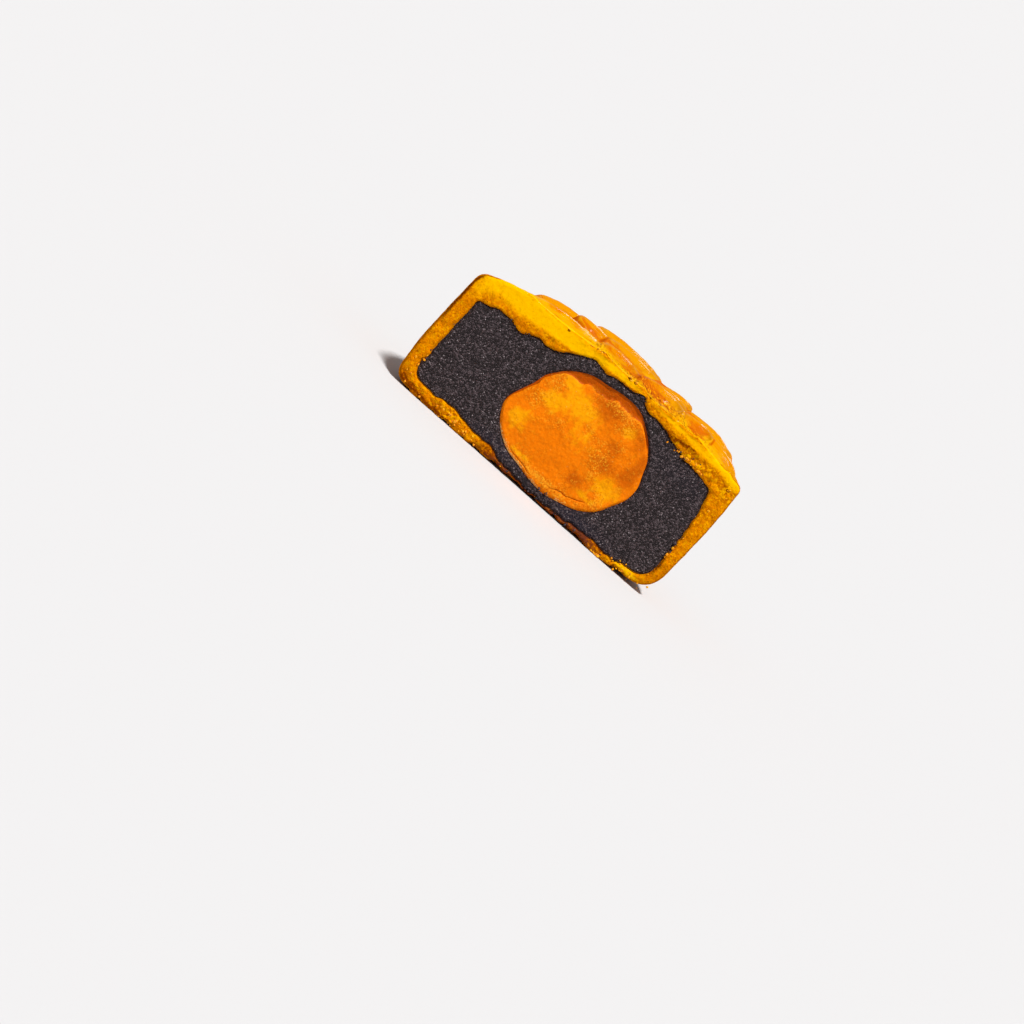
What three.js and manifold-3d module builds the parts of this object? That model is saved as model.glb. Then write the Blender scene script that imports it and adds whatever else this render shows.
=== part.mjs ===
// Half of a baked mooncake: a round, fluted pastry with a flower pressed into its lid, cut
// straight down through its black sesame paste and its salted egg yolk.
//
// Millimetres, +Z up. The half stands on its flat base, with the cut face looking along -Y.
// The shapes below are worked out with the cake's own axis at x = 0, y = 0 and the cut in
// the plane y = 0. The group at the end moves them, so that the middle of the base is the origin.

import * as THREE from 'three';
import { mergeVertices } from 'three/addons/utils/BufferGeometryUtils.js';
import Module from 'manifold-3d';

const { clamp, degToRad, lerp, smoothstep } = THREE.MathUtils;

// Crust: the fluted wall
const RADIUS = 33.6; // out to the crest of a flute
const FLUTES = 20; // round the whole cake, before it was cut
const FLUTE_DEPTH = 1.5;
const FLUTE_ROUNDNESS = 0.4; // share of the depth that rounds the whole flute, not its edges
const FLUTE_EDGE_POWER = 7; // the higher, the narrower the grooves
const FLUTE_STOP = 1.2; // the grooves have run out this far under the rim
const FLUTE_RUNOUT = 1.8;
const WALL_BULGE = 0.8; // the wall stands out this much more at half its height
const WALL_MIDDLE = 15.5;

// Crust: the lid
const LID_HEIGHT = 30.5;
const SHOULDER_RADIUS = 20.5; // outside this the lid slopes down to the rim
const SHOULDER_POWER = 1.5;
const RIM_DROP = 2.6; // how far the rim lies under the lid, on average
const RIM_TILT = 1.35; // and how much that changes, as the rim is lowest on one side
const RIM_LOW_SIDE = 150; // degrees round from +X
const LEFT_FALL = 1.5; // the lid falls away behind the left end of the cut
const LID_SWELL = 0.6; // the lid swells a little over the yolk
const LID_SWELL_X = -3;
const LID_SWELL_RADIUS = 8;
const CUT_PRESS = 0.35; // the knife left this share of the flower's relief at the cut
const CUT_PRESS_REACH = 8; // and all of it this far behind the cut
const BASE_CORNER_LEFT = 4.2;
const BASE_CORNER_RIGHT = 6;
const RIM_CORNER = 1.6;

// Crust: the flower in the lid
const PETAL_HOLLOW = 1.2; // the middle of a petal lies this much under its edge
const PETAL_EDGE_START = 0.95; // where an edge begins to fall, as a share of the oval's radius
const PETAL_EDGE_END = 1.12; // and where it has come down
const PETAL_DROOP = 1.4; // the petals at the right bend down over the shoulder
const PETAL_DROOP_START = 22;
const PETAL_DROOP_END = 32;
const PETAL_LEFT_DROOP = 0.7; // and those at the left a little
const PETAL_LEFT_DROOP_START = 13;
const PETAL_LEFT_DROOP_END = 23;
// Each petal is an oval: the place of its middle, the heading of its length in degrees, its
// length and width, and the height of its edge.
const PETALS = [
  { x: -13.4, y: 11.5, heading: 145, length: 14, width: 19, height: 30.85 },
  { x: 12.5, y: 17.1, heading: 61, length: 16, width: 7, height: 31.8 },
  { x: 0.8, y: 19, heading: 93, length: 18.5, width: 16.8, height: 31.9 },
  { x: 21.8, y: 9.1, heading: 52, length: 14.5, width: 13.5, height: 32.25 },
  { x: -6.5, y: 11.5, heading: 125, length: 15, width: 10, height: 31.75 },
  { x: 1.8, y: 13, heading: 75, length: 17, width: 14, height: 32.1 },
  { x: 11.5, y: 12, heading: 80, length: 14, width: 9, height: 31.8 },
  { x: 24.45, y: 3.5, heading: 22, length: 12.1, width: 12.4, height: 31.9 },
  { x: 18.7, y: 6.2, heading: 75, length: 14.9, width: 8.3, height: 31.8 },
  { x: -13.5, y: 1, heading: 178, length: 18.6, width: 15, height: 31.1 },
  { x: -0.7, y: 5, heading: 95, length: 19.5, width: 10.5, height: 31.5 },
  { x: 9.8, y: 6, heading: 85, length: 19, width: 11.2, height: 31.95 },
];

// Sesame paste
const PASTE_RADIUS_LEFT = 30.2;
const PASTE_RADIUS_RIGHT = 30.8;
const PASTE_FLUTE_SHARE = 0.35; // how much of a flute's depth the paste follows
const PASTE_LEAN = 2.3; // the right side leans in by this much
const PASTE_LEAN_START = 8;
const PASTE_LEAN_RISE = 17;
const PASTE_FLOOR_LEFT = 3.1;
const PASTE_FLOOR_RIGHT = 1.9;
const PASTE_FLOOR_LOWEST = 0.95; // the crust is thinnest under the yolk
const PASTE_DIP_RADIUS = 9;
const PASTE_TOP_LEFT = 23.4;
const PASTE_TOP_RIGHT = 26.5;
const PASTE_BASE_CORNER = 3;
const PASTE_TOP_CORNER = 1.2;
const DOME_TOP = 29.5; // the paste domes up over the yolk
const DOME_FALL = 5.5;
const DOME_X = 2;
const DOME_REACH_LEFT = 13.5;
const DOME_REACH_RIGHT = 16.5;
const DOME_REACH_BACK = 15;
const DOME_BLEND = 2.5; // height over which the dome runs into the rest

// Egg yolk
const YOLK_X = 2.5;
const YOLK_Z = 14.95;
const YOLK_HALF_WIDTH = 15.45;
const YOLK_HALF_HEIGHT = 12.5;
const YOLK_HALF_DEPTH = 14;
// Waves round the yolk's edge, as a share of its radius, with the crest's place in degrees
const YOLK_WAVES = [
  { waves: 1, size: 0.024, crest: -74 },
  { waves: 2, size: 0.02, crest: 67 },
  { waves: 3, size: 0.033, crest: -34 },
  { waves: 4, size: 0.017, crest: 37 },
  { waves: 5, size: 0.017, crest: -7 },
  { waves: 6, size: 0.008, crest: 13 },
];

const GAP = 0.3; // left between neighbours
const CUTTER_OVERRUN = 3; // how far a cutter reaches out of the cut face

// Steps of the faceted surfaces
const CRUST_ROWS = { floor: 1, corner: 3, wall: 5, lid: 24 };
const CRUST_COLUMNS = 80;
const CRUST_SQUEEZE = 0.35; // crowds the columns into the grooves
const PASTE_ROWS = { floor: 5, corner: 2, wall: 3, lid: 9 };
const PASTE_COLUMNS = 30;
const YOLK_ROWS = 16;
const YOLK_COLUMNS = 20;
const MERGE_DISTANCE = 1e-4;

const CRUST_LOOK = { color: 0xd98a12, roughness: 0.5, metalness: 0 };
const PASTE_LOOK = { color: 0x1f1a1c, roughness: 0.7, metalness: 0 };
const YOLK_LOOK = { color: 0xe8760c, roughness: 0.6, metalness: 0 };

// 1 at the left end of the cut face, 0 at its right end.
function leftness(x) {
  return clamp((1 - x / RADIUS) / 2, 0, 1);
}

// 0 on the crest of a flute, 1 in a groove. A crest lies at angle 0.
function fluteOffset(angle) {
  const turns = (angle * FLUTES) / (2 * Math.PI);
  return 2 * Math.abs(turns - Math.round(turns));
}

function grooveDepth(angle) {
  const offset = fluteOffset(angle);
  const round = FLUTE_ROUNDNESS * offset ** 2;
  const edge = (1 - FLUTE_ROUNDNESS) * offset ** FLUTE_EDGE_POWER;
  return FLUTE_DEPTH * (round + edge);
}

// The radius of (x, y) in a petal's oval: 0 in the middle, 1 on the outline.
function petalRadius(petal, x, y) {
  const heading = degToRad(petal.heading);
  const along = (x - petal.x) * Math.cos(heading) + (y - petal.y) * Math.sin(heading);
  const across = (y - petal.y) * Math.cos(heading) - (x - petal.x) * Math.sin(heading);
  return 2 * Math.hypot(along / petal.length, across / petal.width);
}

// The lid slopes down outside its shoulder, and the petals lie on it, each over the last.
function lidHeight(x, y) {
  const out = clamp((Math.hypot(x, y) - SHOULDER_RADIUS) / (RADIUS - SHOULDER_RADIUS), 0, 1);
  const lowSide = degToRad(RIM_LOW_SIDE);
  const towardLowSide = (x * Math.cos(lowSide) + y * Math.sin(lowSide)) / RADIUS;
  const fall = (RIM_DROP + RIM_TILT * towardLowSide) * out ** SHOULDER_POWER;
  const behind = smoothstep(y, 0, 9) * smoothstep(-x, 12, 28);
  const plain = LID_HEIGHT - fall - LEFT_FALL * behind;
  const droop =
    PETAL_DROOP * smoothstep(x, PETAL_DROOP_START, PETAL_DROOP_END) +
    PETAL_LEFT_DROOP * smoothstep(-x, PETAL_LEFT_DROOP_START, PETAL_LEFT_DROOP_END);
  let flower = plain;
  for (const petal of PETALS) {
    const radius = petalRadius(petal, x, y);
    const cover = 1 - smoothstep(radius, PETAL_EDGE_START, PETAL_EDGE_END);
    const surface = petal.height - droop - PETAL_HOLLOW * (1 - Math.min(radius, 1) ** 2);
    flower = lerp(flower, surface, cover);
  }
  const share = lerp(CUT_PRESS, 1, smoothstep(y, 0, CUT_PRESS_REACH));
  const fromSwell = ((x - LID_SWELL_X) ** 2 + y ** 2) / LID_SWELL_RADIUS ** 2;
  return lerp(plain, flower, share) + LID_SWELL * Math.exp(-fromSwell);
}

const crustOutside = {
  baseCornerLeft: BASE_CORNER_LEFT,
  baseCornerRight: BASE_CORNER_RIGHT,
  topCorner: RIM_CORNER,
  rimHeight: LID_HEIGHT - RIM_DROP,
  rows: CRUST_ROWS,
  wall(angle, height) {
    const rim = lidHeight(RADIUS * Math.cos(angle), RADIUS * Math.sin(angle));
    const stop = rim - FLUTE_STOP;
    const fade = 1 - smoothstep(height, stop - FLUTE_RUNOUT, stop);
    const bulge = WALL_BULGE * ((height - WALL_MIDDLE) / WALL_MIDDLE) ** 2;
    return RADIUS - bulge - grooveDepth(angle) * fade;
  },
  floor: () => 0,
  lid: lidHeight,
};

// The paste, or the hollow that it lies in when grown by the gap.
function pasteShape(grow) {
  return {
    baseCornerLeft: PASTE_BASE_CORNER,
    baseCornerRight: PASTE_BASE_CORNER,
    topCorner: PASTE_TOP_CORNER,
    rimHeight: (PASTE_TOP_LEFT + PASTE_TOP_RIGHT) / 2,
    rows: PASTE_ROWS,
    wall(angle, height) {
      const left = (1 - Math.cos(angle)) / 2;
      const lean = clamp((height - PASTE_LEAN_START) / PASTE_LEAN_RISE, 0, 1) ** 2;
      const right = PASTE_RADIUS_RIGHT - PASTE_LEAN * lean;
      return lerp(right, PASTE_RADIUS_LEFT, left) - PASTE_FLUTE_SHARE * grooveDepth(angle) + grow;
    },
    floor(x, y) {
      const level = lerp(PASTE_FLOOR_RIGHT, PASTE_FLOOR_LEFT, leftness(x));
      const dip = Math.exp(-((x - YOLK_X) ** 2 + y ** 2) / PASTE_DIP_RADIUS ** 2);
      return lerp(level, PASTE_FLOOR_LOWEST, dip) - grow;
    },
    lid(x, y) {
      const level = lerp(PASTE_TOP_RIGHT, PASTE_TOP_LEFT, leftness(x));
      const reach = x < DOME_X ? DOME_REACH_LEFT : DOME_REACH_RIGHT;
      const out = ((x - DOME_X) / reach) ** 2 + (y / DOME_REACH_BACK) ** 2;
      const dome = DOME_TOP - DOME_FALL * out ** 2;
      const meet = Math.max(DOME_BLEND - Math.abs(dome - level), 0) / DOME_BLEND;
      return Math.max(dome, level) + (DOME_BLEND * meet ** 2) / 4 + grow;
    },
  };
}

// A quadratic curve from a to c that leaves a and reaches c heading for and from b.
function roundCorner(a, b, c, share) {
  const one = a.clone().lerp(b, share);
  const two = b.clone().lerp(c, share);
  return one.lerp(two, share);
}

// The upright slice of a round shape at one angle: out along the floor from the axis, round
// the lower corner, up the wall, round the upper corner, and in along the lid to the axis.
function shapeSlice(shape, angle) {
  const cos = Math.cos(angle);
  const sin = Math.sqrt(1 - cos * cos);
  const at = (radius, height) => new THREE.Vector3(radius * cos, radius * sin, height);
  const onFloor = (radius) => at(radius, shape.floor(radius * cos, radius * sin));
  const onLid = (radius) => at(radius, shape.lid(radius * cos, radius * sin));
  const onWall = (height) => at(shape.wall(angle, height), height);

  const baseCorner = lerp(shape.baseCornerRight, shape.baseCornerLeft, (1 - cos) / 2);
  const footRadius = shape.wall(angle, baseCorner);
  const foot = onFloor(footRadius).z;
  const rimRadius = shape.wall(angle, shape.rimHeight);
  const rim = onLid(rimRadius).z;
  const wallStart = foot + baseCorner;
  const wallEnd = rim - shape.topCorner;

  const { floor, corner, wall, lid } = shape.rows;
  const points = [];
  for (let i = 0; i < floor; i++) {
    points.push(onFloor(((footRadius - baseCorner) * i) / floor));
  }
  const footFrom = onFloor(footRadius - baseCorner);
  const footTo = onWall(wallStart);
  for (let i = 0; i < corner; i++) {
    points.push(roundCorner(footFrom, at(footRadius, foot), footTo, i / corner));
  }
  for (let i = 0; i < wall; i++) {
    points.push(onWall(lerp(wallStart, wallEnd, i / wall)));
  }
  const rimFrom = onWall(wallEnd);
  const rimTo = onLid(rimRadius - shape.topCorner);
  for (let i = 0; i < corner; i++) {
    points.push(roundCorner(rimFrom, at(rimRadius, rim), rimTo, i / corner));
  }
  for (let i = 0; i <= lid; i++) {
    points.push(onLid((rimRadius - shape.topCorner) * (1 - i / lid)));
  }
  return points;
}

// The yolk's slice at one angle round its own upright axis: a waved oval, squashed in depth.
function yolkSlice(angle, grow) {
  const cos = Math.cos(angle);
  const sin = Math.sqrt(1 - cos * cos);
  const left = (1 - cos) / 2;
  const radiusAt = (turn) => {
    const waves = YOLK_WAVES.map((w) => w.size * Math.cos(w.waves * (turn - degToRad(w.crest))));
    return waves.reduce((sum, wave) => sum + wave, 1);
  };
  const points = [];
  for (let i = 0; i <= YOLK_ROWS; i++) {
    const turn = lerp(-Math.PI / 2, Math.PI / 2, i / YOLK_ROWS);
    const radius = lerp(radiusAt(turn), radiusAt(Math.PI - turn), left);
    const across = radius * Math.cos(turn);
    const x = YOLK_X + cos * across * (YOLK_HALF_WIDTH + grow);
    const y = sin * across * (YOLK_HALF_DEPTH + grow);
    const z = YOLK_Z + radius * Math.sin(turn) * (YOLK_HALF_HEIGHT + grow);
    points.push(new THREE.Vector3(x, y, z));
  }
  return points;
}

// Closes slices that run from +X over the back to -X, each from the axis below to the axis
// above, with one flat face. With an overrun the flat face stands that far in front of the cut.
function closeSlices(slices, overrun = 0) {
  if (overrun > 0) {
    const moved = (slice) => slice.map((p) => new THREE.Vector3(p.x, -overrun, p.z));
    slices = [moved(slices[0]), ...slices, moved(slices[slices.length - 1])];
  }
  const rows = slices[0].length;
  const index = [];
  for (let i = 0; i + 1 < slices.length; i++) {
    for (let j = 0; j + 1 < rows; j++) {
      const a = i * rows + j;
      const b = a + rows;
      index.push(a, b, b + 1, a, b + 1, a + 1);
    }
  }
  const last = (slices.length - 1) * rows;
  const loop = [];
  for (let j = 0; j < rows; j++) loop.push(j);
  for (let j = rows - 2; j > 0; j--) loop.push(last + j);
  const points = slices.flat();
  const outline = loop.map((k) => new THREE.Vector2(points[k].x, points[k].z));
  for (const face of THREE.ShapeUtils.triangulateShape(outline, [])) {
    index.push(...face.map((k) => loop[k]));
  }
  const geometry = new THREE.BufferGeometry().setFromPoints(points);
  geometry.setIndex(index);
  return geometry;
}

// Angles from +X over the back to -X. A squeeze above 0 crowds them into the flutes' grooves.
function anglesRound(count, squeeze = 0) {
  const angles = [];
  for (let i = 0; i <= count; i++) {
    const even = (Math.PI * i) / count;
    angles.push(even + (squeeze * Math.sin(FLUTES * even)) / FLUTES);
  }
  angles[count] = Math.PI;
  return angles;
}

const wasm = await Module();
wasm.setup();

// Merges the shared corners and drops the triangles that shrink to nothing at the axis.
function toSolid(geometry) {
  const merged = mergeVertices(geometry, MERGE_DISTANCE);
  const corners = merged.index.array;
  const triangles = [];
  for (let i = 0; i < corners.length; i += 3) {
    const [a, b, c] = corners.slice(i, i + 3);
    if (a !== b && b !== c && c !== a) triangles.push(a, b, c);
  }
  const mesh = new wasm.Mesh({
    numProp: 3,
    vertProperties: merged.attributes.position.array,
    triVerts: new Uint32Array(triangles),
  });
  return new wasm.Manifold(mesh);
}

function toMesh(name, solid, look) {
  const { vertProperties, triVerts } = solid.getMesh();
  const geometry = new THREE.BufferGeometry();
  geometry.setAttribute('position', new THREE.BufferAttribute(vertProperties, 3));
  geometry.setIndex(new THREE.BufferAttribute(triVerts, 1));
  geometry.computeVertexNormals();
  const mesh = new THREE.Mesh(geometry, new THREE.MeshStandardMaterial(look));
  mesh.name = name;
  return mesh;
}

const shapeSolid = (shape, angles, overrun) =>
  toSolid(closeSlices(angles.map((angle) => shapeSlice(shape, angle)), overrun));
const pasteSolid = (grow, overrun) =>
  shapeSolid(pasteShape(grow), anglesRound(PASTE_COLUMNS), overrun);
const yolkSolid = (grow, overrun) =>
  toSolid(closeSlices(anglesRound(YOLK_COLUMNS).map((angle) => yolkSlice(angle, grow)), overrun));

const uncutCrust = shapeSolid(crustOutside, anglesRound(CRUST_COLUMNS, CRUST_SQUEEZE));
const crust = uncutCrust.subtract(pasteSolid(GAP, CUTTER_OVERRUN));
const paste = pasteSolid(0).subtract(yolkSolid(GAP, CUTTER_OVERRUN));
const yolk = yolkSolid(0);

const mooncakeHalf = new THREE.Group();
mooncakeHalf.add(toMesh('crust', crust, CRUST_LOOK));
mooncakeHalf.add(toMesh('sesame_paste', paste, PASTE_LOOK));
mooncakeHalf.add(toMesh('egg_yolk', yolk, YOLK_LOOK));
mooncakeHalf.position.y = -RADIUS / 2;

export default mooncakeHalf;
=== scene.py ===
"""Half of a baked mooncake, cut through its black sesame paste and its salted egg yolk.

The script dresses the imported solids. Each piece is a closed surface of two parameters, worked
out in the cake's own frame, where the cake's axis is x = 0, y = 0 and the cut is the plane y = 0
with the rest of the cake behind it. place() then moves it to where the solids are.
"""

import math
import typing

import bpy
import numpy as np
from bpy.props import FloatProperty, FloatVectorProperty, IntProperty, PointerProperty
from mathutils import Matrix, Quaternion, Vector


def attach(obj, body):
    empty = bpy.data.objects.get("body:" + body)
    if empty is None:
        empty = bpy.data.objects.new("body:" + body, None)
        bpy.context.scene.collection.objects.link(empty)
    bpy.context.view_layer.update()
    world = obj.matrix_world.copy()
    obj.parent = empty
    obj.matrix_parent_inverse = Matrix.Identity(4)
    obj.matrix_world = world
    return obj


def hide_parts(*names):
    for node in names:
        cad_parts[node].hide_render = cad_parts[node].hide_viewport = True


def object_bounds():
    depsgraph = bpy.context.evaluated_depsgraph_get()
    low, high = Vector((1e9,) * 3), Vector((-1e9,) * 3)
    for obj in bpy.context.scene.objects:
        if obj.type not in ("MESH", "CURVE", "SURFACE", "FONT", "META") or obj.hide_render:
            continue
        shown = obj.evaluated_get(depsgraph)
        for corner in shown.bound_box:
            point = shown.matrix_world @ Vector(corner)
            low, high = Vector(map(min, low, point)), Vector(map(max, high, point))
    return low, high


bl_info = {
    "name": "Cut mooncake",
    "version": (1, 0, 0),
    "blender": (4, 5, 0),
    "location": "3D Viewport > Sidebar > Mooncake",
    "description": "Makes the crust, the sesame paste, the egg yolk and the crumbs of half a mooncake",
    "category": "Add Mesh",
}

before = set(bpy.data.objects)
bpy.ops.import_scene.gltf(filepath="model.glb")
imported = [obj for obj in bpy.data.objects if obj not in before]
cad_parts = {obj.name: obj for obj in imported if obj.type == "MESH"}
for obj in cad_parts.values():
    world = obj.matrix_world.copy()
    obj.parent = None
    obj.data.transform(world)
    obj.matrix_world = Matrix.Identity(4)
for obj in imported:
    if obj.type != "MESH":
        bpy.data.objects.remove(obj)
CAD_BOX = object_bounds()
CUT_Y = CAD_BOX[0].y

MM = 0.001
TAU = 2 * math.pi

# The fluted wall
FLUTE_ROUNDNESS = 0.4  # share of the depth that rounds the whole flute, not its edges
FLUTE_EDGE_POWER = 7  # the higher, the narrower the grooves
FLUTE_UNEVEN = 0.18  # how much the grooves differ in depth
FLUTE_STOP = 1.5 * MM  # the grooves have run out this far under the rim
FLUTE_RUNOUT = 1.5 * MM  # over this height
WALL_BULGE = 0.8 * MM  # the wall stands out this much more at half its height
WALL_MIDDLE = 15.5 * MM
BASE_CORNER_LEFT = 4.2 * MM
BASE_CORNER_RIGHT = 6 * MM
RIM_CORNER = 1.4 * MM
CREASE_DEPTH = 0.35 * MM  # the shoulder hangs a little over the tops of the flutes
CREASE_WIDTH = 0.4 * MM
CREASE_DROP = 2.9 * MM  # under the rim, at the crest of a flute
CREASE_ARCH = 0.9 * MM  # and how much higher it is in the grooves
CREASE_ENDS = (0.03, 0.2)  # it runs out between the angles from the cut that have these sines

# The lid, and the flower pressed into it
SHOULDER_POWER = 1.5
RIM_TILT = 1.35 * MM  # the rim lies this much lower on its low side, and higher on the other
RIM_LOW_SIDE = math.radians(150)  # round from +X
LEFT_FALL = 1.5 * MM  # the lid falls away behind the left end of the cut
LEFT_FALL_REACH = 9 * MM  # all of it this far behind the cut
LEFT_FALL_START, LEFT_FALL_END = 12 * MM, 28 * MM
LID_SWELL = 0.6 * MM  # the lid swells over the yolk
LID_SWELL_X = -3 * MM
LID_SWELL_RADIUS = 8 * MM
CUT_PRESS = 0.35  # the knife left this share of the flower's relief at the cut
CUT_PRESS_REACH = 8 * MM  # and all of it this far behind the cut
PETAL_HOLLOW = 0.9 * MM  # the middle of a petal lies this much under its edge
PETAL_LIP = 0.4 * MM  # the last rise, just inside the edge
PETAL_LIP_START = 0.8  # where it begins, as a share of the oval's radius
PETAL_EDGE_START = 0.94  # where the edge begins to fall, and where it is down
PETAL_EDGE_END = 1.15
PETAL_RIDGE_WIDTH = 0.03  # of the glossy line where the edge begins to fall
# The petals' creases are only painted: their darker colour on the lid is painted shade.
PETAL_CREASE_SHADE, PETAL_CREASE_WIDTH = 1.06, 0.06  # the crease round it
PETAL_DROOP = 1.4 * MM  # the petals at the right bend down over the shoulder
PETAL_DROOP_START, PETAL_DROOP_END = 22 * MM, 32 * MM
PETAL_LEFT_DROOP = 0.7 * MM  # and those at the left a little
PETAL_LEFT_DROOP_START, PETAL_LEFT_DROOP_END = 13 * MM, 23 * MM
VEIN_SPACING = 1.9 * MM
VEIN_DEPTH = 0.035 * MM
DROP_HEIGHT = 0.6 * MM  # of a bead of egg wash
DROP_RADIUS = 0.75 * MM


class Petal(typing.NamedTuple):
    """An oval on the lid: the place of its middle, the heading of its length in degrees, its
    length and width, and the height of its edge, all in millimetres."""

    x: float
    y: float
    heading: float
    length: float
    width: float
    height: float


# Each petal lies over the ones before it
PETALS = (
    Petal(-13.4, 11.5, 145, 14, 19, 30.85),
    Petal(12.5, 17.1, 61, 16, 7, 31.8),
    Petal(0.8, 19, 93, 18.5, 16.8, 31.9),
    Petal(21.8, 9.1, 52, 14.5, 13.5, 32.25),
    Petal(-6.5, 11.5, 125, 15, 10, 31.75),
    Petal(1.8, 13, 75, 17, 14, 32.1),
    Petal(11.5, 12, 80, 14, 9, 31.8),
    Petal(24.45, 3.5, 22, 12.1, 12.4, 31.9),
    Petal(18.7, 6.2, 75, 14.9, 8.3, 31.8),
    Petal(-13.5, 1, 178, 18.6, 15, 31.1),
    Petal(-0.7, 5, 95, 19.5, 10.5, 31.5),
    Petal(9.8, 6, 85, 19, 11.2, 31.95),
)
# Beads of egg wash: x and y, in millimetres
DROPS = ((11.3, 7.5), (14.7, 6.5), (10.8, 1.6), (-8.5, 13))

# The paste. Its top and bottom lines on the cut run through these places, in millimetres.
PASTE_TOP_LINE = (
    (-29, 22.5), (-25, 23.8), (-19.5, 23.4), (-17, 24.6), (-12, 25.2), (-8.5, 27.3), (-5, 28.9),
    (-3, 28.5), (0, 28.8), (4.5, 29.4), (6.5, 29.9), (8, 28.9), (12, 28), (16, 27.1), (21, 25.9),
    (29, 25),
)
PASTE_BOTTOM_LINE = (
    (-28, 3), (-25, 2.7), (-21, 3.3), (-15, 2.7), (-10, 2.4), (-5, 1.5), (0, 0.8), (8, 0.85),
    (15, 1.7), (23, 1.8), (29, 2.8),
)
PASTE_LINE_REACH = 5 * MM  # behind the cut the lines give way to the plain dome and floor
PASTE_FLUTE_SHARE = 0.35  # how much of a flute's depth the paste follows
PASTE_LEAN = 2.3 * MM  # the right side leans in by this much
PASTE_LEAN_START = 8 * MM
PASTE_LEAN_RISE = 17 * MM
PASTE_CORNER = 3 * MM
PASTE_TOP_CORNER = 1.2 * MM
PASTE_RIM_HEIGHT = 24.95 * MM
PASTE_RAGGED = 0.26 * MM  # how far its edge on the cut wanders
PASTE_RAGGED_SIZE = 1.6 * MM
PASTE_RAGGED_TURN = 9 * MM  # on its side, the noise runs this far each way from the back
DOME_TOP = 29.5 * MM  # the paste domes up over the yolk
DOME_FALL = 5.5 * MM
DOME_X = 2 * MM
DOME_REACH_LEFT = 13.5 * MM
DOME_REACH_RIGHT = 16.5 * MM
DOME_REACH_BACK = 15 * MM
PASTE_SIDE_LEVEL = (26.5 * MM, 23.4 * MM)  # the top at the right and at the left
PASTE_FLOOR_LEVEL = (1.9 * MM, 3.1 * MM)  # and the floor
THINNEST_CRUST = 0.25 * MM  # over and under the paste

# Waves round the yolk's edge: how many, their size as a share of its radius, a crest in degrees
YOLK_WAVES = (
    (1, 0.024, -74), (2, 0.02, 67), (3, 0.033, -34), (4, 0.017, 37), (5, 0.017, -7),
    (6, 0.008, 13), (9, 0.01, -6), (17, 0.003, 5),
)

# Layers of lumps: height and size in millimetres, then the noise's seed and octaves
SKIN_LUMPS = ((0.1, 5, 11, 3), (0.035, 0.9, 12, 3))
CRUMBLE = ((0.18, 1.6, 21, 3), (0.1, 0.6, 22, 2))
PASTE_STREAKS = ((0.08, 1.2, 61, 3),)
PASTE_GRAINS = ((0.05, 0.6, 63, 2),)
YOLK_LUMPS = ((0.09, 2.5, 73, 3), (0.04, 0.6, 75, 2))
STREAK_PRESS = (1, 1, 0.45)  # of x, y and z before the noise, which draws the streaks out upwards
LUMPS_START = 0.5 * MM  # on the cut, lumps reach full height this far from a seam

# The cut face
EDGE_ROUND = 0.25 * MM  # the crust's cut stands this proud of its skin's edge
EDGE_ROUND_WIDTH = 0.35 * MM
SEAM_DEPTH = 0.4 * MM  # of the crease between two neighbours
SEAM_WIDTH = 0.3 * MM
BASE_LIFT = 0.45 * MM  # the thin base curls up this much at the cut, under the yolk
BASE_LIFT_X = 3 * MM
BASE_LIFT_REACH = 12 * MM
BASE_LIFT_RIGHT = 0.8 * MM  # and this much at the right end
BASE_LIFT_RIGHT_START, BASE_LIFT_RIGHT_END = 20 * MM, 27 * MM
BASE_LIFT_DEPTH = 4 * MM  # how far behind the cut it does
BASE_CHIPS = 0.6 * MM  # how deep its edge on the cut has crumbled away
BASE_CHIPS_REACH = 1.5 * MM
BASE_CHIP_SIZE = 1.3 * MM
CRESCENT = math.radians(97)  # where the yolk's dense outer layer is thickest, round its middle
CRESCENT_SHOWN = math.radians(118)  # the middle of the arc along which it shows at all
CRESCENT_THICKNESS = (0.35 * MM, 2.3 * MM)  # at the ends of the arc, and where it is thickest
CRESCENT_DEPTH = 0.45 * MM  # it lies this much lower than the rest
YOLK_DOME = 0.3 * MM  # the face stands out this much more in its middle
YOLK_DOME_REACH = 9 * MM
PALE_RIM = math.radians(252)  # the middle of its crumbly edge
PALE_RIM_WIDTH = 0.6 * MM
CRACK_GAPS = (0.8 * MM, 2.1 * MM)  # how far in from the edge the left and right cracks run
CRACK_WIDTH = 0.1 * MM
CRACK_DEPTH = 0.3 * MM
# Each crack along x, in millimetres: where it starts and is whole, where it fades and ends
CRACKS = ((-7.5, -5, -1, 1), (4, 6, 11, 12.5))

# Where the crust changes colour
FOOT_BROWN_TOP, FOOT_BROWN_FULL = 4 * MM, 0.5 * MM  # the foot browns downwards
# The soaked base's dark is partly painted shade.
SOAKED_AND_SHADED_BEHIND = 3 * MM  # how far behind the cut the soaked base shows
# The lid's painted shade in the flower's hollows and creases is weaker by the cut.
NEAR_CUT, OFF_CUT = 1 * MM, 5 * MM  # the flower's hollows darken the lid in full from the second
LIGHT_SIZE = 3 * MM  # of the lid's uneven light patches
LAP_TIMES = 16  # how many times further the cut crust laps over the lid in LAP_SPOTS
SEAM_TOAST = 0.45 * MM  # the cut crust is browner this far from the paste
SIDE_HEIGHT, TOP_HEIGHT = 26.5 * MM, 28.5 * MM  # of the cut's outer edge: side below, lid above
LINE_LOW, LINE_HIGH = 12 * MM, 19 * MM  # the brown line gets stronger between these heights
LINE_LEFT, LINE_RIGHT = -30 * MM, 25 * MM  # and fades from the first of these places to the second

# Steps of the surfaces
CRUST_COLUMNS = 340
CRUST_SQUEEZE = 0.35  # crowds the columns into the grooves
FLOOR_ROWS, CORNER_ROWS, WALL_ROWS, RIM_ROWS, LID_ROWS = 8, 10, 44, 8, 124
LID_CROWDING = 1.15  # above 1, the lid's rows crowd towards the cut
BAND_ROWS = 20
PASTE_FACE_ROWS = 72
YOLK_STEPS = 220  # along each side of the square that makes its face
BACK_ROWS = 12
WELD = 1e-8  # points this near each other become one

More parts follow.
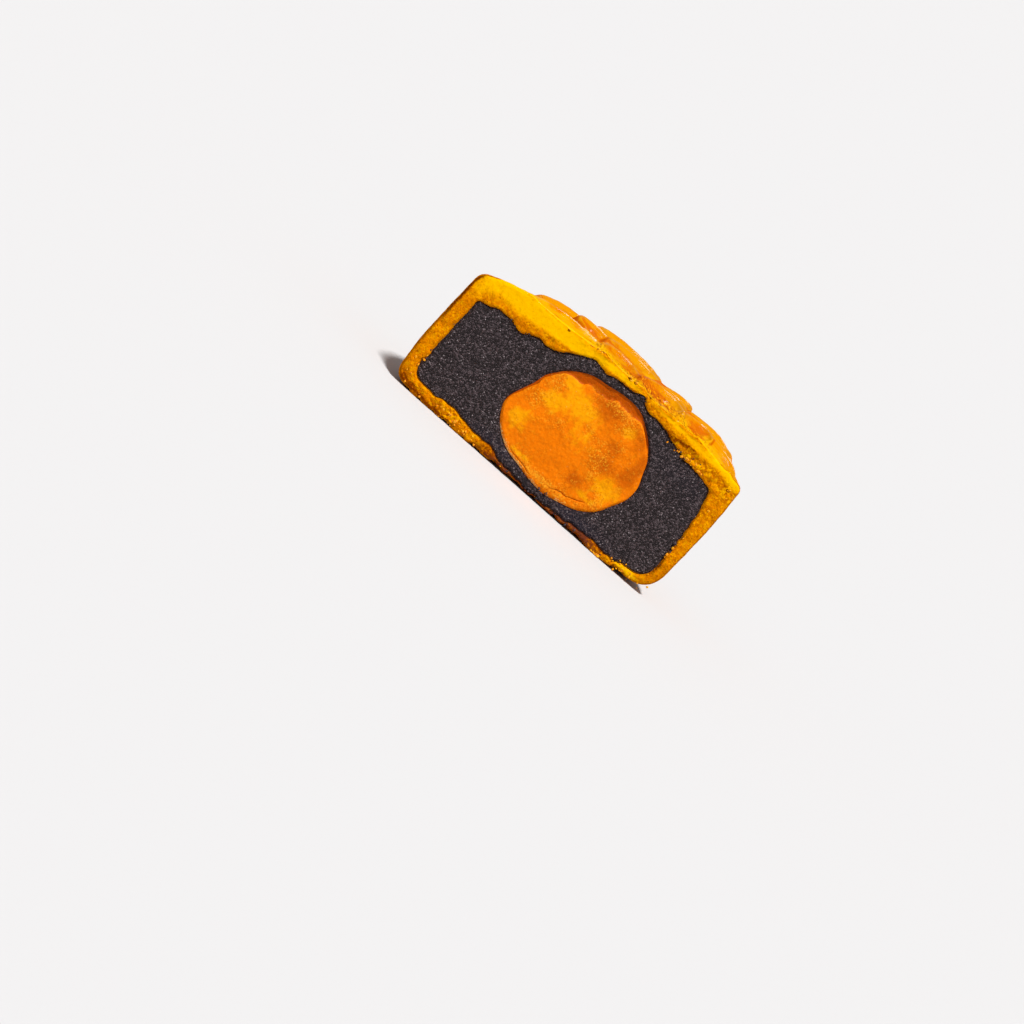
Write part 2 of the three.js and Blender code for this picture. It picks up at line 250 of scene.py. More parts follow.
# Loose crumbs
PASTE_CRUMB_SHARE = 0.7  # of the size of a crust crumb
CRUMB_OUT = 0.05  # how far a crumb's middle is out of the cut, as a share of its size

# The stage
FLOOR_REACH = 30.0  # each way from the middle, in metres
WORLD_LIGHT, WORLD_SEEN = 0.3, 0.93  # the world's strength as light, and as the camera sees it
AIM_X, AIM_Z = 2.65 * MM, -4.4 * MM  # the camera looks at this place in the plane of the cut
# The strength of each lamp, its width in degrees and the direction that it shines from
LAMPS = {"key": (4.0, 7, (0.109, -0.363, 0.925)), "back": (1.5, 24, (-0.1, 0.55, 0.83))}


def length(name, millimetres, description):
    """A size that the panel shows as a length."""
    return FloatProperty(
        name=name, description=description, default=millimetres * MM, unit="LENGTH", precision=5
    )


def colour(name, code, description):
    """A colour given by its screen code, held as linear light."""
    parts = [int(code[i : i + 2], 16) / 255 for i in (0, 2, 4)]
    linear = [p / 12.92 if p <= 0.04045 else ((p + 0.055) / 1.055) ** 2.4 for p in parts]
    return FloatVectorProperty(
        name=name, description=description, default=linear, subtype="COLOR", min=0, max=1
    )


class CrustSettings(bpy.types.PropertyGroup):
    """Sizes and colours of the baked crust."""

    radius: length("Radius", 33.6, "Out to the crest of a flute")
    flutes: IntProperty(name="Flutes", description="Round the whole cake", default=20, min=3)
    flute_depth: length("Flute depth", 1.5, "From a crest to the bottom of a groove")
    lid_height: length("Lid height", 30.5, "Of the plain lid, without the flower")
    shoulder_radius: length("Shoulder radius", 20.5, "Outside this the lid slopes to the rim")
    rim_drop: length("Rim drop", 2.6, "How far the rim lies under the lid")
    skin_gold: colour("Skin gold", "d18900", "The golden parts of the skin")
    skin_light: colour("Skin light", "dc9e00", "The lighter skin by the cut")
    # In the flower's hollows and creases this orange is painted shade.
    skin_orange: colour("Skin orange", "c86400", "The deeper patches and the flower's hollows")
    # In the grooves and in the crease under the shoulder this brown is painted shade. At the foot and on
    # the cut skin's line it is the baked colour.
    skin_brown: colour("Skin brown", "6e2c00", "The grooves, the foot and the cut skin's line")
    crumb_gold: colour("Crumb gold", "de8000", "The granular cut crust")
    crumb_yellow: colour("Crumb yellow", "fcba00", "Where the knife smeared the crust smooth")
    crumb_brown: colour("Crumb brown", "843a00", "The baked patches")
    # Partly painted shade: the base under the yolk is dark from the paste, and darker still as painted
    # shade.
    soaked: colour("Soaked", "64301e", "The thin base under the yolk, soaked by the paste's oil")


class PasteSettings(bpy.types.PropertyGroup):
    """Sizes and colours of the black sesame paste."""

    radius_left: length("Left radius", 30.2, "Of the paste at the left end of the cut")
    radius_right: length("Right radius", 30.8, "Of the paste at the right end of the cut")
    black: colour("Black", "1a0d10", "The ground of the paste")
    moist: colour("Moist", "1c1426", "The bluer ground of the moist patches")
    grey: colour("Grey", "54464a", "The paler grains")
    # Painted highlight: this pale colour on a few grains stands in for their glints.
    painted_glint: colour("Glint", "b8aeb0", "The few grains that catch the light")


class YolkSettings(bpy.types.PropertyGroup):
    """Sizes and colours of the salted egg yolk."""

    x: length("X", 2.5, "Of its middle, from the cake's axis")
    z: length("Z", 14.95, "Of its middle, above the base")
    half_width: length("Half width", 15.45, "Along the cut face")
    half_height: length("Half height", 12.5, "Up the cut face")
    half_depth: length("Half depth", 14, "Back into the cake")
    orange: colour("Orange", "ee7800", "The ground of the cut yolk")
    yellow: colour("Yellow", "fca200", "The brighter patches")
    meal: colour("Meal", "ffb428", "The dry grains and the crumbly edge")
    rust: colour("Rust", "c45800", "The dark patches")
    # Partly painted shade: besides the outer layer's own red, this colour darkens the dip where that
    # layer shows, and the cracks.
    red: colour("Red", "a84200", "The dense outer layer")
    pale: colour("Pale", "ffd080", "The pale crumbs along its lower edge")


class CrumbSettings(bpy.types.PropertyGroup):
    """Number and size of the loose crumbs."""

    crust_count: IntProperty(name="Crust crumbs", description="Golden crumbs", default=150, min=0)
    paste_count: IntProperty(name="Paste crumbs", description="Black crumbs", default=160, min=0)
    size: length("Crumb size", 0.45, "Across a middling crumb")


class StageSettings(bpy.types.PropertyGroup):
    """Floor, light and camera."""

    azimuth: FloatProperty(
        name="Azimuth", description="Of the camera, from straight ahead", default=math.radians(-5),
        subtype="ANGLE",
    )
    elevation: FloatProperty(
        name="Elevation", description="Of the camera", default=math.radians(9.7), subtype="ANGLE"
    )
    roll: FloatProperty(
        name="Roll", description="How far the cake leans over in the picture",
        default=math.radians(42.3), subtype="ANGLE",
    )
    distance: length("Distance", 1114, "From the camera to the cut face")
    focal_length: FloatProperty(name="Focal length", description="In millimetres", default=200)
    floor: colour("Floor", "ceced0", "The pale floor, which the lamp makes nearly white")


# Numbers in arrays


def smooth(values, low, high):
    """0 below low, 1 above high, and 3t^2 - 2t^3 between them."""
    share = np.clip((values - low) / (high - low), 0, 1)
    return share * share * (3 - 2 * share)


def mix(first, second, share):
    """first at share 0, second at share 1."""
    return first + (second - first) * share


def bell(distance, width):
    """1 at distance 0, falling as e to the minus the square of distance over width."""
    return np.exp(-((distance / width) ** 2))


def lattice(cells, seed):
    """A fixed value from 0 to 1 for each whole-number point: the sum of its three numbers times
    large odd ones, with the bits mixed by shifts and products."""
    odd = np.array([73856093, 19349663, 83492791])
    mixed = ((cells.astype(np.int64) * odd).sum(-1) + seed * 2654435761).astype(np.uint32)
    mixed = (mixed ^ (mixed >> np.uint32(15))) * np.uint32(739982445)
    mixed = (mixed ^ (mixed >> np.uint32(12))) * np.uint32(695872825)
    return (mixed ^ (mixed >> np.uint32(15))) / 2.0**32


def noise(points, size, seed):
    """Smooth noise from -1 to 1 with lumps of the given size: the lattice values at the eight
    corners round a point, blended by the smoothstep of its place between them."""
    place = points / size
    cell = np.floor(place)
    share = smooth(place - cell, 0, 1)
    total = 0
    for corner in np.ndindex(2, 2, 2):
        weight = np.where(corner, share, 1 - share).prod(-1)
        total = total + weight * lattice(cell + corner, seed)
    return 2 * total - 1


def rough(points, size, seed, octaves=3):
    """Noise on noise: each octave has half the size and 0.55 of the strength of the last, and is
    turned against it, so that no lattice shows. The seeds only keep the calls apart."""
    turn = np.array(Matrix.Rotation(0.7, 3, Vector((1, 2, 3))))
    total, strength = 0, 1
    for octave in range(octaves):
        total = total + strength * noise(points, size, seed + octave)
        points, size, strength = points @ turn, size / 2, strength * 0.55
    return total


def lumps(points, layers):
    """What layers of lumps (height and size in millimetres, seed, octaves) add up to."""
    return sum(height * MM * rough(points, size * MM, seed, octaves)
               for height, size, seed, octaves in layers)


def curve_through(stops, x):
    """Heights at x on a smooth curve through stops (x, height) in millimetres: a cubic between
    two stops, whose slope at each is that of its neighbours."""
    at, height = np.array(stops, float).T * MM
    slope = np.gradient(height, at)
    i = np.clip(np.searchsorted(at, x) - 1, 0, len(at) - 2)
    width = at[i + 1] - at[i]
    t = np.clip((x - at[i]) / width, 0, 1)
    start = height[i] * (1 + 2 * t) * (1 - t) ** 2 + slope[i] * width * t * (1 - t) ** 2
    end = height[i + 1] * t * t * (3 - 2 * t) + slope[i + 1] * width * t * t * (t - 1)
    return start + end


# Shapes of the cake


def grooves(angle, crust):
    """Depth of the flutes' grooves at an angle: a part of it grows as the square of the distance
    from the nearest crest and rounds the flute, the rest as a high power and cuts its edge."""
    turns = angle * crust.flutes / TAU
    offset = 2 * np.abs(turns - np.round(turns))
    spots = np.stack([np.floor(turns), turns * 0, turns * 0], -1)
    depth = crust.flute_depth * (1 + FLUTE_UNEVEN * (2 * lattice(spots, 5) - 1))
    return depth * mix(offset**FLUTE_EDGE_POWER, offset**2, FLUTE_ROUNDNESS)


def petal_place(petal, x, y):
    """The radius of (x, y) in a petal's oval, 0 in its middle and 1 on its outline, and how far
    across the petal it lies."""
    heading = math.radians(petal.heading)
    cos, sin = math.cos(heading), math.sin(heading)
    along = (x - petal.x * MM) * cos + (y - petal.y * MM) * sin
    across = (y - petal.y * MM) * cos - (x - petal.x * MM) * sin
    return 2 * np.hypot(along / (petal.length * MM), across / (petal.width * MM)), across


def plain_lid(x, y, crust):
    """The lid without its flower is level, and falls outside its shoulder by a power of the
    distance, more on its low side, and once more behind the left end of the cut."""
    out = np.clip(np.hypot(x, y) - crust.shoulder_radius, 0, None)
    out = np.minimum(out / (crust.radius - crust.shoulder_radius), 1)
    low_side = (x * math.cos(RIM_LOW_SIDE) + y * math.sin(RIM_LOW_SIDE)) / crust.radius
    fall = (crust.rim_drop + RIM_TILT * low_side) * out**SHOULDER_POWER
    behind = smooth(y, 0, LEFT_FALL_REACH) * smooth(-x, LEFT_FALL_START, LEFT_FALL_END)
    return crust.lid_height - fall - LEFT_FALL * behind


def flower_lid(x, y, crust):
    """The plain lid with the flower in it, how much each place is a glossy ridge, and how much a
    crease between petals, where the skin is painted darker as shade. Each petal in turn covers
    what lies under it with a dish, hollow by the square of its radius, that rises once more just
    inside its edge and has fine veins. The petals at both ends droop, and a few beads of egg wash
    stand on them."""
    flower, ridge, crease = plain_lid(x, y, crust), 0, 0
    droop = PETAL_DROOP * smooth(x, PETAL_DROOP_START, PETAL_DROOP_END)
    droop = droop + PETAL_LEFT_DROOP * smooth(-x, PETAL_LEFT_DROOP_START, PETAL_LEFT_DROOP_END)
    for petal in PETALS:
        radius, across = petal_place(petal, x, y)
        inside = 1 - np.minimum(radius, 1) ** 2
        veins = VEIN_DEPTH * np.cos(TAU * across / VEIN_SPACING) * np.minimum(3 * inside, 1)
        lip = PETAL_LIP * (smooth(radius, PETAL_LIP_START, PETAL_EDGE_START) - 1)
        surface = petal.height * MM - droop - PETAL_HOLLOW * inside + lip + veins
        cover = 1 - smooth(radius, PETAL_EDGE_START, PETAL_EDGE_END)
        flower = mix(flower, surface, cover)
        far_side = smooth((y - petal.y * MM) / (radius * MM + 1e-9), 1, 4)
        ridge = mix(ridge, bell(radius - PETAL_EDGE_START, PETAL_RIDGE_WIDTH) * far_side, cover)
        # Painted shade: the crease mark darkens the skin round each petal's edge.
        crease = mix(crease, 0, smooth(radius, 1.0, 0.9))
        crease = crease + bell(radius - PETAL_CREASE_SHADE, PETAL_CREASE_WIDTH)
    for drop_x, drop_y in DROPS:
        drop = bell(np.hypot(x - drop_x * MM, y - drop_y * MM), DROP_RADIUS)
        flower, ridge = flower + DROP_HEIGHT * drop, np.maximum(ridge, drop)
    return flower, ridge, np.minimum(crease, 1)


def lid_height(x, y, crust):
    """The flower's relief is lower at the cut, and the lid swells over the yolk."""
    plain, flower = plain_lid(x, y, crust), flower_lid(x, y, crust)[0]
    share = mix(CUT_PRESS, 1, smooth(y, 0, CUT_PRESS_REACH))
    swell = LID_SWELL * bell(np.hypot(x - LID_SWELL_X, y), LID_SWELL_RADIUS)
    return mix(plain, flower, share) + swell


class CrustShape:
    """The outside of the crust."""

    def __init__(self, crust):
        self.crust = crust
        self.corners = (BASE_CORNER_RIGHT, BASE_CORNER_LEFT)
        self.top_corner = RIM_CORNER
        self.rim_height = crust.lid_height - crust.rim_drop

    def round(self, angle, height):
        """The wall's radius without its flutes: it stands out most at half its height."""
        return self.crust.radius - WALL_BULGE * ((height - WALL_MIDDLE) / WALL_MIDDLE) ** 2

    def rim(self, angle):
        """Height of the lid's edge."""
        radius = self.crust.radius
        return self.lid(radius * np.cos(angle), radius * np.sin(angle))

    def crease(self, angle, height):
        """1 in the crease under the shoulder, which arches from crest to crest and runs out
        towards the cut, and 0 away from it."""
        arch = CREASE_ARCH * np.minimum(grooves(angle, self.crust) / self.crust.flute_depth, 1)
        off = height - (self.rim(angle) - CREASE_DROP + arch)
        return bell(off, CREASE_WIDTH) * smooth(np.sin(angle), *CREASE_ENDS)

    def wall(self, angle, height):
        """The round wall less the grooves, which run out under the rim, and less the crease."""
        stop = self.rim(angle) - FLUTE_STOP
        fade = 1 - smooth(height, stop - FLUTE_RUNOUT, stop)
        groove = grooves(angle, self.crust) * fade
        return self.round(angle, height) - groove - CREASE_DEPTH * self.crease(angle, height)

    def floor(self, x, y):
        """Level, but curled up at the cut under the yolk and at the right, and chipped along the
        cut by noise."""
        lift = BASE_LIFT * bell(x - BASE_LIFT_X, BASE_LIFT_REACH)
        lift = lift + BASE_LIFT_RIGHT * smooth(x, BASE_LIFT_RIGHT_START, BASE_LIFT_RIGHT_END)
        spots = np.stack(np.broadcast_arrays(x, y, x * 0), -1)
        chips = np.clip(rough(spots, BASE_CHIP_SIZE, 7) + 0.1, 0, 1) * bell(y, BASE_CHIPS_REACH)
        return lift * bell(y, BASE_LIFT_DEPTH) + BASE_CHIPS * chips

    def lid(self, x, y):
        """The lid with its flower."""
        return lid_height(x, y, self.crust)


class PasteShape:
    """The outside of the paste, and the hollow in the crust that holds it."""

    def __init__(self, crust, paste):
        self.crust, self.paste = crust, paste
        self.corners = (PASTE_CORNER, PASTE_CORNER)
        self.top_corner = PASTE_TOP_CORNER
        self.rim_height = PASTE_RIM_HEIGHT

    def leftness(self, x):
        """1 at the left end of the cut face, 0 at its right end."""
        return np.clip((1 - x / self.crust.radius) / 2, 0, 1)

    def round(self, angle, height):
        """The radius goes from the right end's to the left end's, and leans in at the right."""
        lean = np.clip((height - PASTE_LEAN_START) / PASTE_LEAN_RISE, 0, 1) ** 2
        right = self.paste.radius_right - PASTE_LEAN * lean
        return mix(right, self.paste.radius_left, (1 - np.cos(angle)) / 2)

    def wall(self, angle, height):
        """It follows the flutes a little, and its edge wanders."""
        turn = PASTE_RAGGED_TURN * np.cos(angle)
        spots = np.stack(np.broadcast_arrays(turn, angle * 0, height), -1)
        wander = PASTE_RAGGED * rough(spots, PASTE_RAGGED_SIZE, 31)
        return self.round(angle, height) - PASTE_FLUTE_SHARE * grooves(angle, self.crust) + wander

    def floor(self, x, y):
        """At the cut it follows its line, and behind it a slope."""
        plain = mix(*PASTE_FLOOR_LEVEL, self.leftness(x))
        line = curve_through(PASTE_BOTTOM_LINE, x) + self.ragged(x, 41)
        line = np.maximum(line, CrustShape(self.crust).floor(x, 0) + THINNEST_CRUST)
        return mix(plain, line, bell(y, PASTE_LINE_REACH))

    def lid(self, x, y):
        """At the cut it follows its line, and behind it a dome over the yolk."""
        level = mix(*PASTE_SIDE_LEVEL, self.leftness(x))
        reach = np.where(x < DOME_X, DOME_REACH_LEFT, DOME_REACH_RIGHT)
        out = ((x - DOME_X) / reach) ** 2 + (y / DOME_REACH_BACK) ** 2
        plain = np.maximum(DOME_TOP - DOME_FALL * out**2, level)
        line = curve_through(PASTE_TOP_LINE, x) + self.ragged(x, 51)
        line = np.minimum(line, lid_height(x, y * 0, self.crust) - THINNEST_CRUST)
        return mix(plain, line, bell(y, PASTE_LINE_REACH))

    def ragged(self, x, seed):
        """How far the edge on the cut wanders up and down along x."""
        spots = np.stack([x, x * 0, x * 0], -1)
        return PASTE_RAGGED * rough(spots, PASTE_RAGGED_SIZE, seed)


def side_rows(shape, angles):
    """Points up the side of a shape at some angles: a quadratic curve round the lower corner, the
    wall, and a quadratic curve round the upper corner. The last row is where the lid begins."""
    cos, sin = np.cos(angles), np.abs(np.sin(angles))

    def at(radius, height):
        return np.stack(np.broadcast_arrays(radius * cos, radius * sin, height), -1)

    def corner(start, control, end, count):
        share = np.arange(count)[:, None, None] / count
        return mix(mix(start, control, share), mix(control, end, share), share)

    foot_corner = mix(*shape.corners, (1 - cos) / 2)
    foot_inner = shape.round(angles, foot_corner) - foot_corner
    foot_outer = shape.wall(angles, foot_corner)
    foot = shape.floor(foot_outer * cos, foot_outer * sin)
    rim_outer = shape.wall(angles, shape.rim_height)
    rim_inner = shape.round(angles, shape.rim_height) - shape.top_corner
    rim = shape.lid(rim_outer * cos, rim_outer * sin)
    wall_start, wall_end = foot + foot_corner, rim - shape.top_corner
    heights = mix(wall_start, wall_end, np.arange(WALL_ROWS)[:, None] / WALL_ROWS)
    foot_from = at(foot_inner, shape.floor(foot_inner * cos, foot_inner * sin))
    foot_to = at(shape.wall(angles, wall_start), wall_start)
    rim_from = at(shape.wall(angles, wall_end), wall_end)
    rim_to = at(rim_inner, shape.lid(rim_inner * cos, rim_inner * sin))
    return np.concatenate([
        corner(foot_from, at(foot_outer, foot), foot_to, CORNER_ROWS),
        at(shape.wall(angles, heights), heights),
        corner(rim_from, at(rim_outer, rim), rim_to, RIM_ROWS),
        rim_to[None],
    ])


def half_round(shape, angles):
    """Rows of points over half a round shape: back from the cut along the floor, up the side, and
    forward along the lid to the cut. A column on the floor or the lid keeps its x."""
    side = side_rows(shape, angles)
    back = (np.arange(FLOOR_ROWS)[:, None] / FLOOR_ROWS) ** 3
    forth = (1 - np.arange(1, LID_ROWS + 1)[:, None] / LID_ROWS) ** LID_CROWDING
    floor_x, floor_y = np.broadcast_arrays(side[0, :, 0], side[0, :, 1] * back)
    lid_x, lid_y = np.broadcast_arrays(side[-1, :, 0], side[-1, :, 1] * forth)
    floor = np.stack([floor_x, floor_y, shape.floor(floor_x, floor_y)], -1)
    lid = np.stack([lid_x, lid_y, shape.lid(lid_x, lid_y)], -1)
    return np.concatenate([floor, side, lid])


def cut_outline(grid):
    """The edge of half_round's grid on the cut, once round against the clock: along the floor to
    the right, up the right side, along the lid to the left, and down the left side."""
    start, end = FLOOR_ROWS + 1, -LID_ROWS - 1
    return np.concatenate([grid[0, ::-1], grid[start:end, 0], grid[-1], grid[start:end, -1][::-1]])


def hollow_rings(shape, angles):
    """Rings behind each other from the cut outline to the back of the shape. A ring's sides are
    the shape's sides at two angles that mirror each other, and its floor and lid cross between
    them in the steps that the crust's angles make along the cut."""
    steps = np.linspace(0, math.pi / 2, BACK_ROWS + 1)
    right = side_rows(shape, steps)
    left = side_rows(shape, math.pi - steps)
    share = (1 - np.cos(angles)[:, None]) / 2

    def across(start, end, surface):
        x, y = mix(start[:, 0], end[:, 0], share), mix(start[:, 1], end[:, 1], share)
        return np.stack([x, y, surface(x, y)], -1)

    floor = across(right[0], left[0], shape.floor)
    lid = across(right[-1], left[-1], shape.lid)
    rings = [floor[::-1], right[1:-1], lid, left[1:-1][::-1]]
    return np.concatenate(rings).transpose(1, 0, 2)


def yolk_outline(angles, yolk):
    """Points on the yolk's edge on the cut: an ellipse whose radius takes a few waves."""
    radius = 1 + sum(size * np.cos(waves * (angles - math.radians(crest)))
                     for waves, size, crest in YOLK_WAVES)
    x = yolk.x + yolk.half_width * radius * np.cos(angles)
    z = yolk.z + yolk.half_height * radius * np.sin(angles)
    return np.stack([x, x * 0, z], -1)


def yolk_rings(outline, yolk):
    """Rings from the yolk's outline on the cut to its back pole, each the outline shrunk by a
    cosine and set back by a sine of the same angle."""
    turn = np.linspace(0, math.pi / 2, BACK_ROWS + 1)[:, None, None]
    middle = np.array([yolk.x, 0, yolk.z])
    return middle + (outline - middle) * np.cos(turn) + [0, yolk.half_depth, 0] * np.sin(turn)


# Meshes


class Patch(typing.NamedTuple):
    """Part of a surface: its points, the corners of its triangles, and values for each point."""

    points: np.ndarray
    triangles: np.ndarray
    marks: dict


def grid_patch(grid, looped=False, inside_out=False, **marks):
    """A patch from rows of points, with two triangles for each cell. A looped grid's last column
    joins its first."""
    rows, columns = grid.shape[:2]
    number = np.arange(rows * columns).reshape(rows, columns)
    if looped:
        number = np.concatenate([number, number[:, :1]], 1)
    a, b, c, d = number[:-1, :-1], number[:-1, 1:], number[1:, :-1], number[1:, 1:]
    triangles = np.concatenate([np.stack([a, b, d], -1), np.stack([a, d, c], -1)]).reshape(-1, 3)
    if inside_out:
        triangles = triangles[:, ::-1]
    flat = {name: np.broadcast_to(mark, (rows, columns)).ravel() for name, mark in marks.items()}
    return Patch(grid.reshape(-1, 3), triangles, flat)


def normals_of(patch):
    """The way the surface faces at each point, as the sum of its triangles' cross products."""
    a, b, c = (patch.points[patch.triangles[:, i]] for i in range(3))
    cross = np.cross(b - a, c - a)
    total = np.zeros_like(patch.points)
    for i in range(3):
        np.add.at(total, patch.triangles[:, i], cross)
    return total / np.maximum(np.linalg.norm(total, axis=1, keepdims=True), 1e-20)


def joined(patches):
    """One patch of several. A value that a patch doesn't give is 0 there."""
    starts = np.cumsum([0] + [len(p.points) for p in patches])
    names = sorted({name for p in patches for name in p.marks})
    marks = {
        name: np.concatenate([p.marks.get(name, np.zeros(len(p.points))) for p in patches])
        for name in names
    }
    triangles = [p.triangles + start for p, start in zip(patches, starts)]
    return Patch(np.concatenate([p.points for p in patches]), np.concatenate(triangles), marks)


def welded(patch):
    """The patch with points that share a place made one, and without the triangles that this
    shrinks to a line."""
    keys = np.round(patch.points / WELD).astype(np.int64)
    _, first, shared = np.unique(keys, axis=0, return_index=True, return_inverse=True)
    triangles = shared.reshape(-1)[patch.triangles]
    a, b, c = triangles.T
    triangles = triangles[(a != b) & (b != c) & (c != a)]
    return Patch(patch.points[first], triangles, {n: m[first] for n, m in patch.marks.items()})


def check_closed(name, patch):
    """Stops the script unless each edge is met once from either side and the faces look out."""
    corners = patch.triangles.astype(np.int64)
    start, end = corners.ravel(), np.roll(corners, -1, 1).ravel()
    count = len(patch.points)
    if not np.array_equal(np.sort(start * count + end), np.sort(end * count + start)):
        raise RuntimeError(f"{name} isn't closed")
    a, b, c = (patch.points[corners[:, i]] for i in range(3))
    if np.einsum("ij,ij->i", a, np.cross(b, c)).sum() <= 0:
        raise RuntimeError(f"{name} is inside out")


def place(name, patch, material, slot, *nodes):
    """Makes the piece's object, moves its points to where the solids are, and ties it to them."""
    patch = welded(patch)
    check_closed(name, patch)
    mesh = bpy.data.meshes.new(name)
    count = len(patch.triangles)
    mesh.vertices.add(len(patch.points))
    mesh.vertices.foreach_set("co", (patch.points + [0, CUT_Y, 0]).ravel().astype(np.float32))
    mesh.loops.add(3 * count)
    mesh.loops.foreach_set("vertex_index", patch.triangles.ravel().astype(np.int32))
    mesh.polygons.add(count)
    mesh.polygons.foreach_set("loop_start", np.arange(0, 3 * count, 3, dtype=np.int32))
    mesh.polygons.foreach_set("use_smooth", np.ones(count, bool))
    for mark, values in patch.marks.items():
        attribute = mesh.attributes.new(mark, "FLOAT", "POINT")
        attribute.data.foreach_set("value", values.astype(np.float32))
    mesh.update(calc_edges=True)
    mesh.materials.append(material)
    piece = bpy.data.objects.new(name, mesh)
    bpy.context.scene.collection.objects.link(piece)
    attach(piece, "root")
    if nodes:
        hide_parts(*nodes)
    return piece


# Materials


class Term:
    """A value inside a material. Sums, differences and products with it add Math nodes."""

    def __init__(self, finish, socket):
        self.finish, self.socket = finish, socket

    def __add__(self, other):
        return self.finish.maths("ADD", self, other)

    def __radd__(self, other):
        return self.finish.maths("ADD", other, self)

    def __sub__(self, other):
        return self.finish.maths("SUBTRACT", self, other)

    def __rsub__(self, other):
        return self.finish.maths("SUBTRACT", other, self)

    def __mul__(self, other):
        return self.finish.maths("MULTIPLY", self, other)

    def __rmul__(self, other):
        return self.finish.maths("MULTIPLY", other, self)


class Finish:
    """A material and its nodes."""

    def __init__(self, name, constants):
        self.material = bpy.data.materials.new(name)
        self.material.use_nodes = True
        self.nodes = self.material.node_tree.nodes
        self.links = self.material.node_tree.links
        self.shader = self.nodes["Principled BSDF"]
        self.place = self.node("ShaderNodeTexCoord", out="Object")
        self.feed(self.shader, constants)

    def feed(self, node, inputs):
        """Sets or links a node's sockets."""
        for key, value in inputs.items():
            socket = node.inputs[key]
            if isinstance(value, Term):
                self.links.new(value.socket, socket)
            elif socket.type == "RGBA":
                socket.default_value = (*value[:3], 1)
            else:
                socket.default_value = value

    def node(self, kind, settings=None, inputs=None, out=0):
        """Adds a node of any kind: its settings first, then its sockets."""
        made = self.nodes.new(kind)
        for key, value in (settings or {}).items():
            setattr(made, key, value)
        self.feed(made, inputs or {})
        return Term(self, made.outputs[out])

    def maths(self, operation, *values):
        """A Math node on terms or numbers."""
        return self.node("ShaderNodeMath", {"operation": operation}, dict(enumerate(values)))

    def step(self, value, low, high):
        """0 below low, 1 above high, and smooth between them. low may be the larger."""
        ends = {"Value": value, "From Min": low, "From Max": high}
        return self.node("ShaderNodeMapRange", {"interpolation_type": "SMOOTHSTEP"}, ends)

    def colour(self, share, first, second):
        """Mixes two colours."""
        inputs = {0: share, 6: first, 7: second}
        return self.node("ShaderNodeMix", {"data_type": "RGBA"}, inputs, out=2)

    def mark(self, name):
        """A value that the mesh holds for each point."""
        return self.node("ShaderNodeAttribute", {"attribute_name": name}, out="Fac")

    def cloud(self, size, detail, stretch=None):
        """Soft noise from 0 to 1 with lumps of the given size, stretched along the axes."""
        vector = self.place
        if stretch:
            inputs = {0: self.place, 1: [1 / share for share in stretch]}
            vector = self.node("ShaderNodeVectorMath", {"operation": "MULTIPLY"}, inputs)
        inputs = {"Vector": vector, "Scale": 1 / size, "Detail": detail, "Roughness": 0.6}
        return self.node("ShaderNodeTexNoise", None, inputs)

    def cells(self, size, out="Distance"):
        """Cells of the given size: the distance from each one's middle, or its own random value."""
        inputs = {"Vector": self.place, "Scale": 1 / size}
        made = self.node("ShaderNodeTexVoronoi", None, inputs, out=out)
        if out == "Color":
            return self.node("ShaderNodeSeparateColor", None, {0: made}, out="Red")
        return made

    def bump(self, height, distance):
        """Relief too fine for the mesh, distance deep where height goes from 0 to 1."""
        normal = self.node("ShaderNodeBump", None, {"Height": height, "Distance": distance})
        self.feed(self.shader, {"Normal": normal})

    def done(self, varying):
        """Links what varies over the surface, and returns the material."""
        self.feed(self.shader, varying)
        return self.material


def skin_colour(f, crust, grain, fine, own):
    """Gold that is deeper in the flower's hollows and creases, brown in the grooves and at the foot,
    specked, and strewn with crumbs by the cut. The darker colour of the hollows, the creases and the
    grooves is painted shade."""
    wash, smear, grit = f.mark("wash"), f.mark("smear"), f.mark("grit")
    patches = f.cloud(6 * MM, 3)
    # Painted shade: the lid turns deeper orange in the flower's hollows and creases, and lighter on its
    # raised parts and by the cut.
    raised = 0.5 * (f.mark("raised") - 0.45) + 0.3 * smear
    deep = f.step(patches + 0.3 * (grain - 0.5) - raised * wash - 0.08 * (1 - wash), 0.36, 0.66)
    gold = f.colour(smear, crust.skin_gold, crust.skin_light)
    skin = f.colour(deep * (0.25 + 0.75 * wash) + 0.4 * (1 - wash), gold, crust.skin_orange)
    specks = f.step(fine + 0.25 * (own - 0.5), 0.58, 0.78)
    specks = specks * (0.5 - 0.45 * wash + 0.25 * wash * deep)
    # The groove mark carries painted shade in the grooves and in the crease under the shoulder, together
    # with the baked foot and the soaked base.
    brown = f.maths("MAXIMUM", f.mark("groove") + 0.5 * (grain - 0.5), specks)
    skin = f.colour(f.maths("MINIMUM", brown, 1), skin, crust.skin_brown)
    spatter = f.cloud(0.45 * MM, 3, stretch=(1, 5, 1))
    skin = f.colour(f.step(spatter, 0.54, 0.66) * grit * 0.8, skin, crust.crumb_yellow)
    return f.colour(f.step(spatter, 0.46, 0.36) * grit * 0.75, skin, crust.skin_brown)


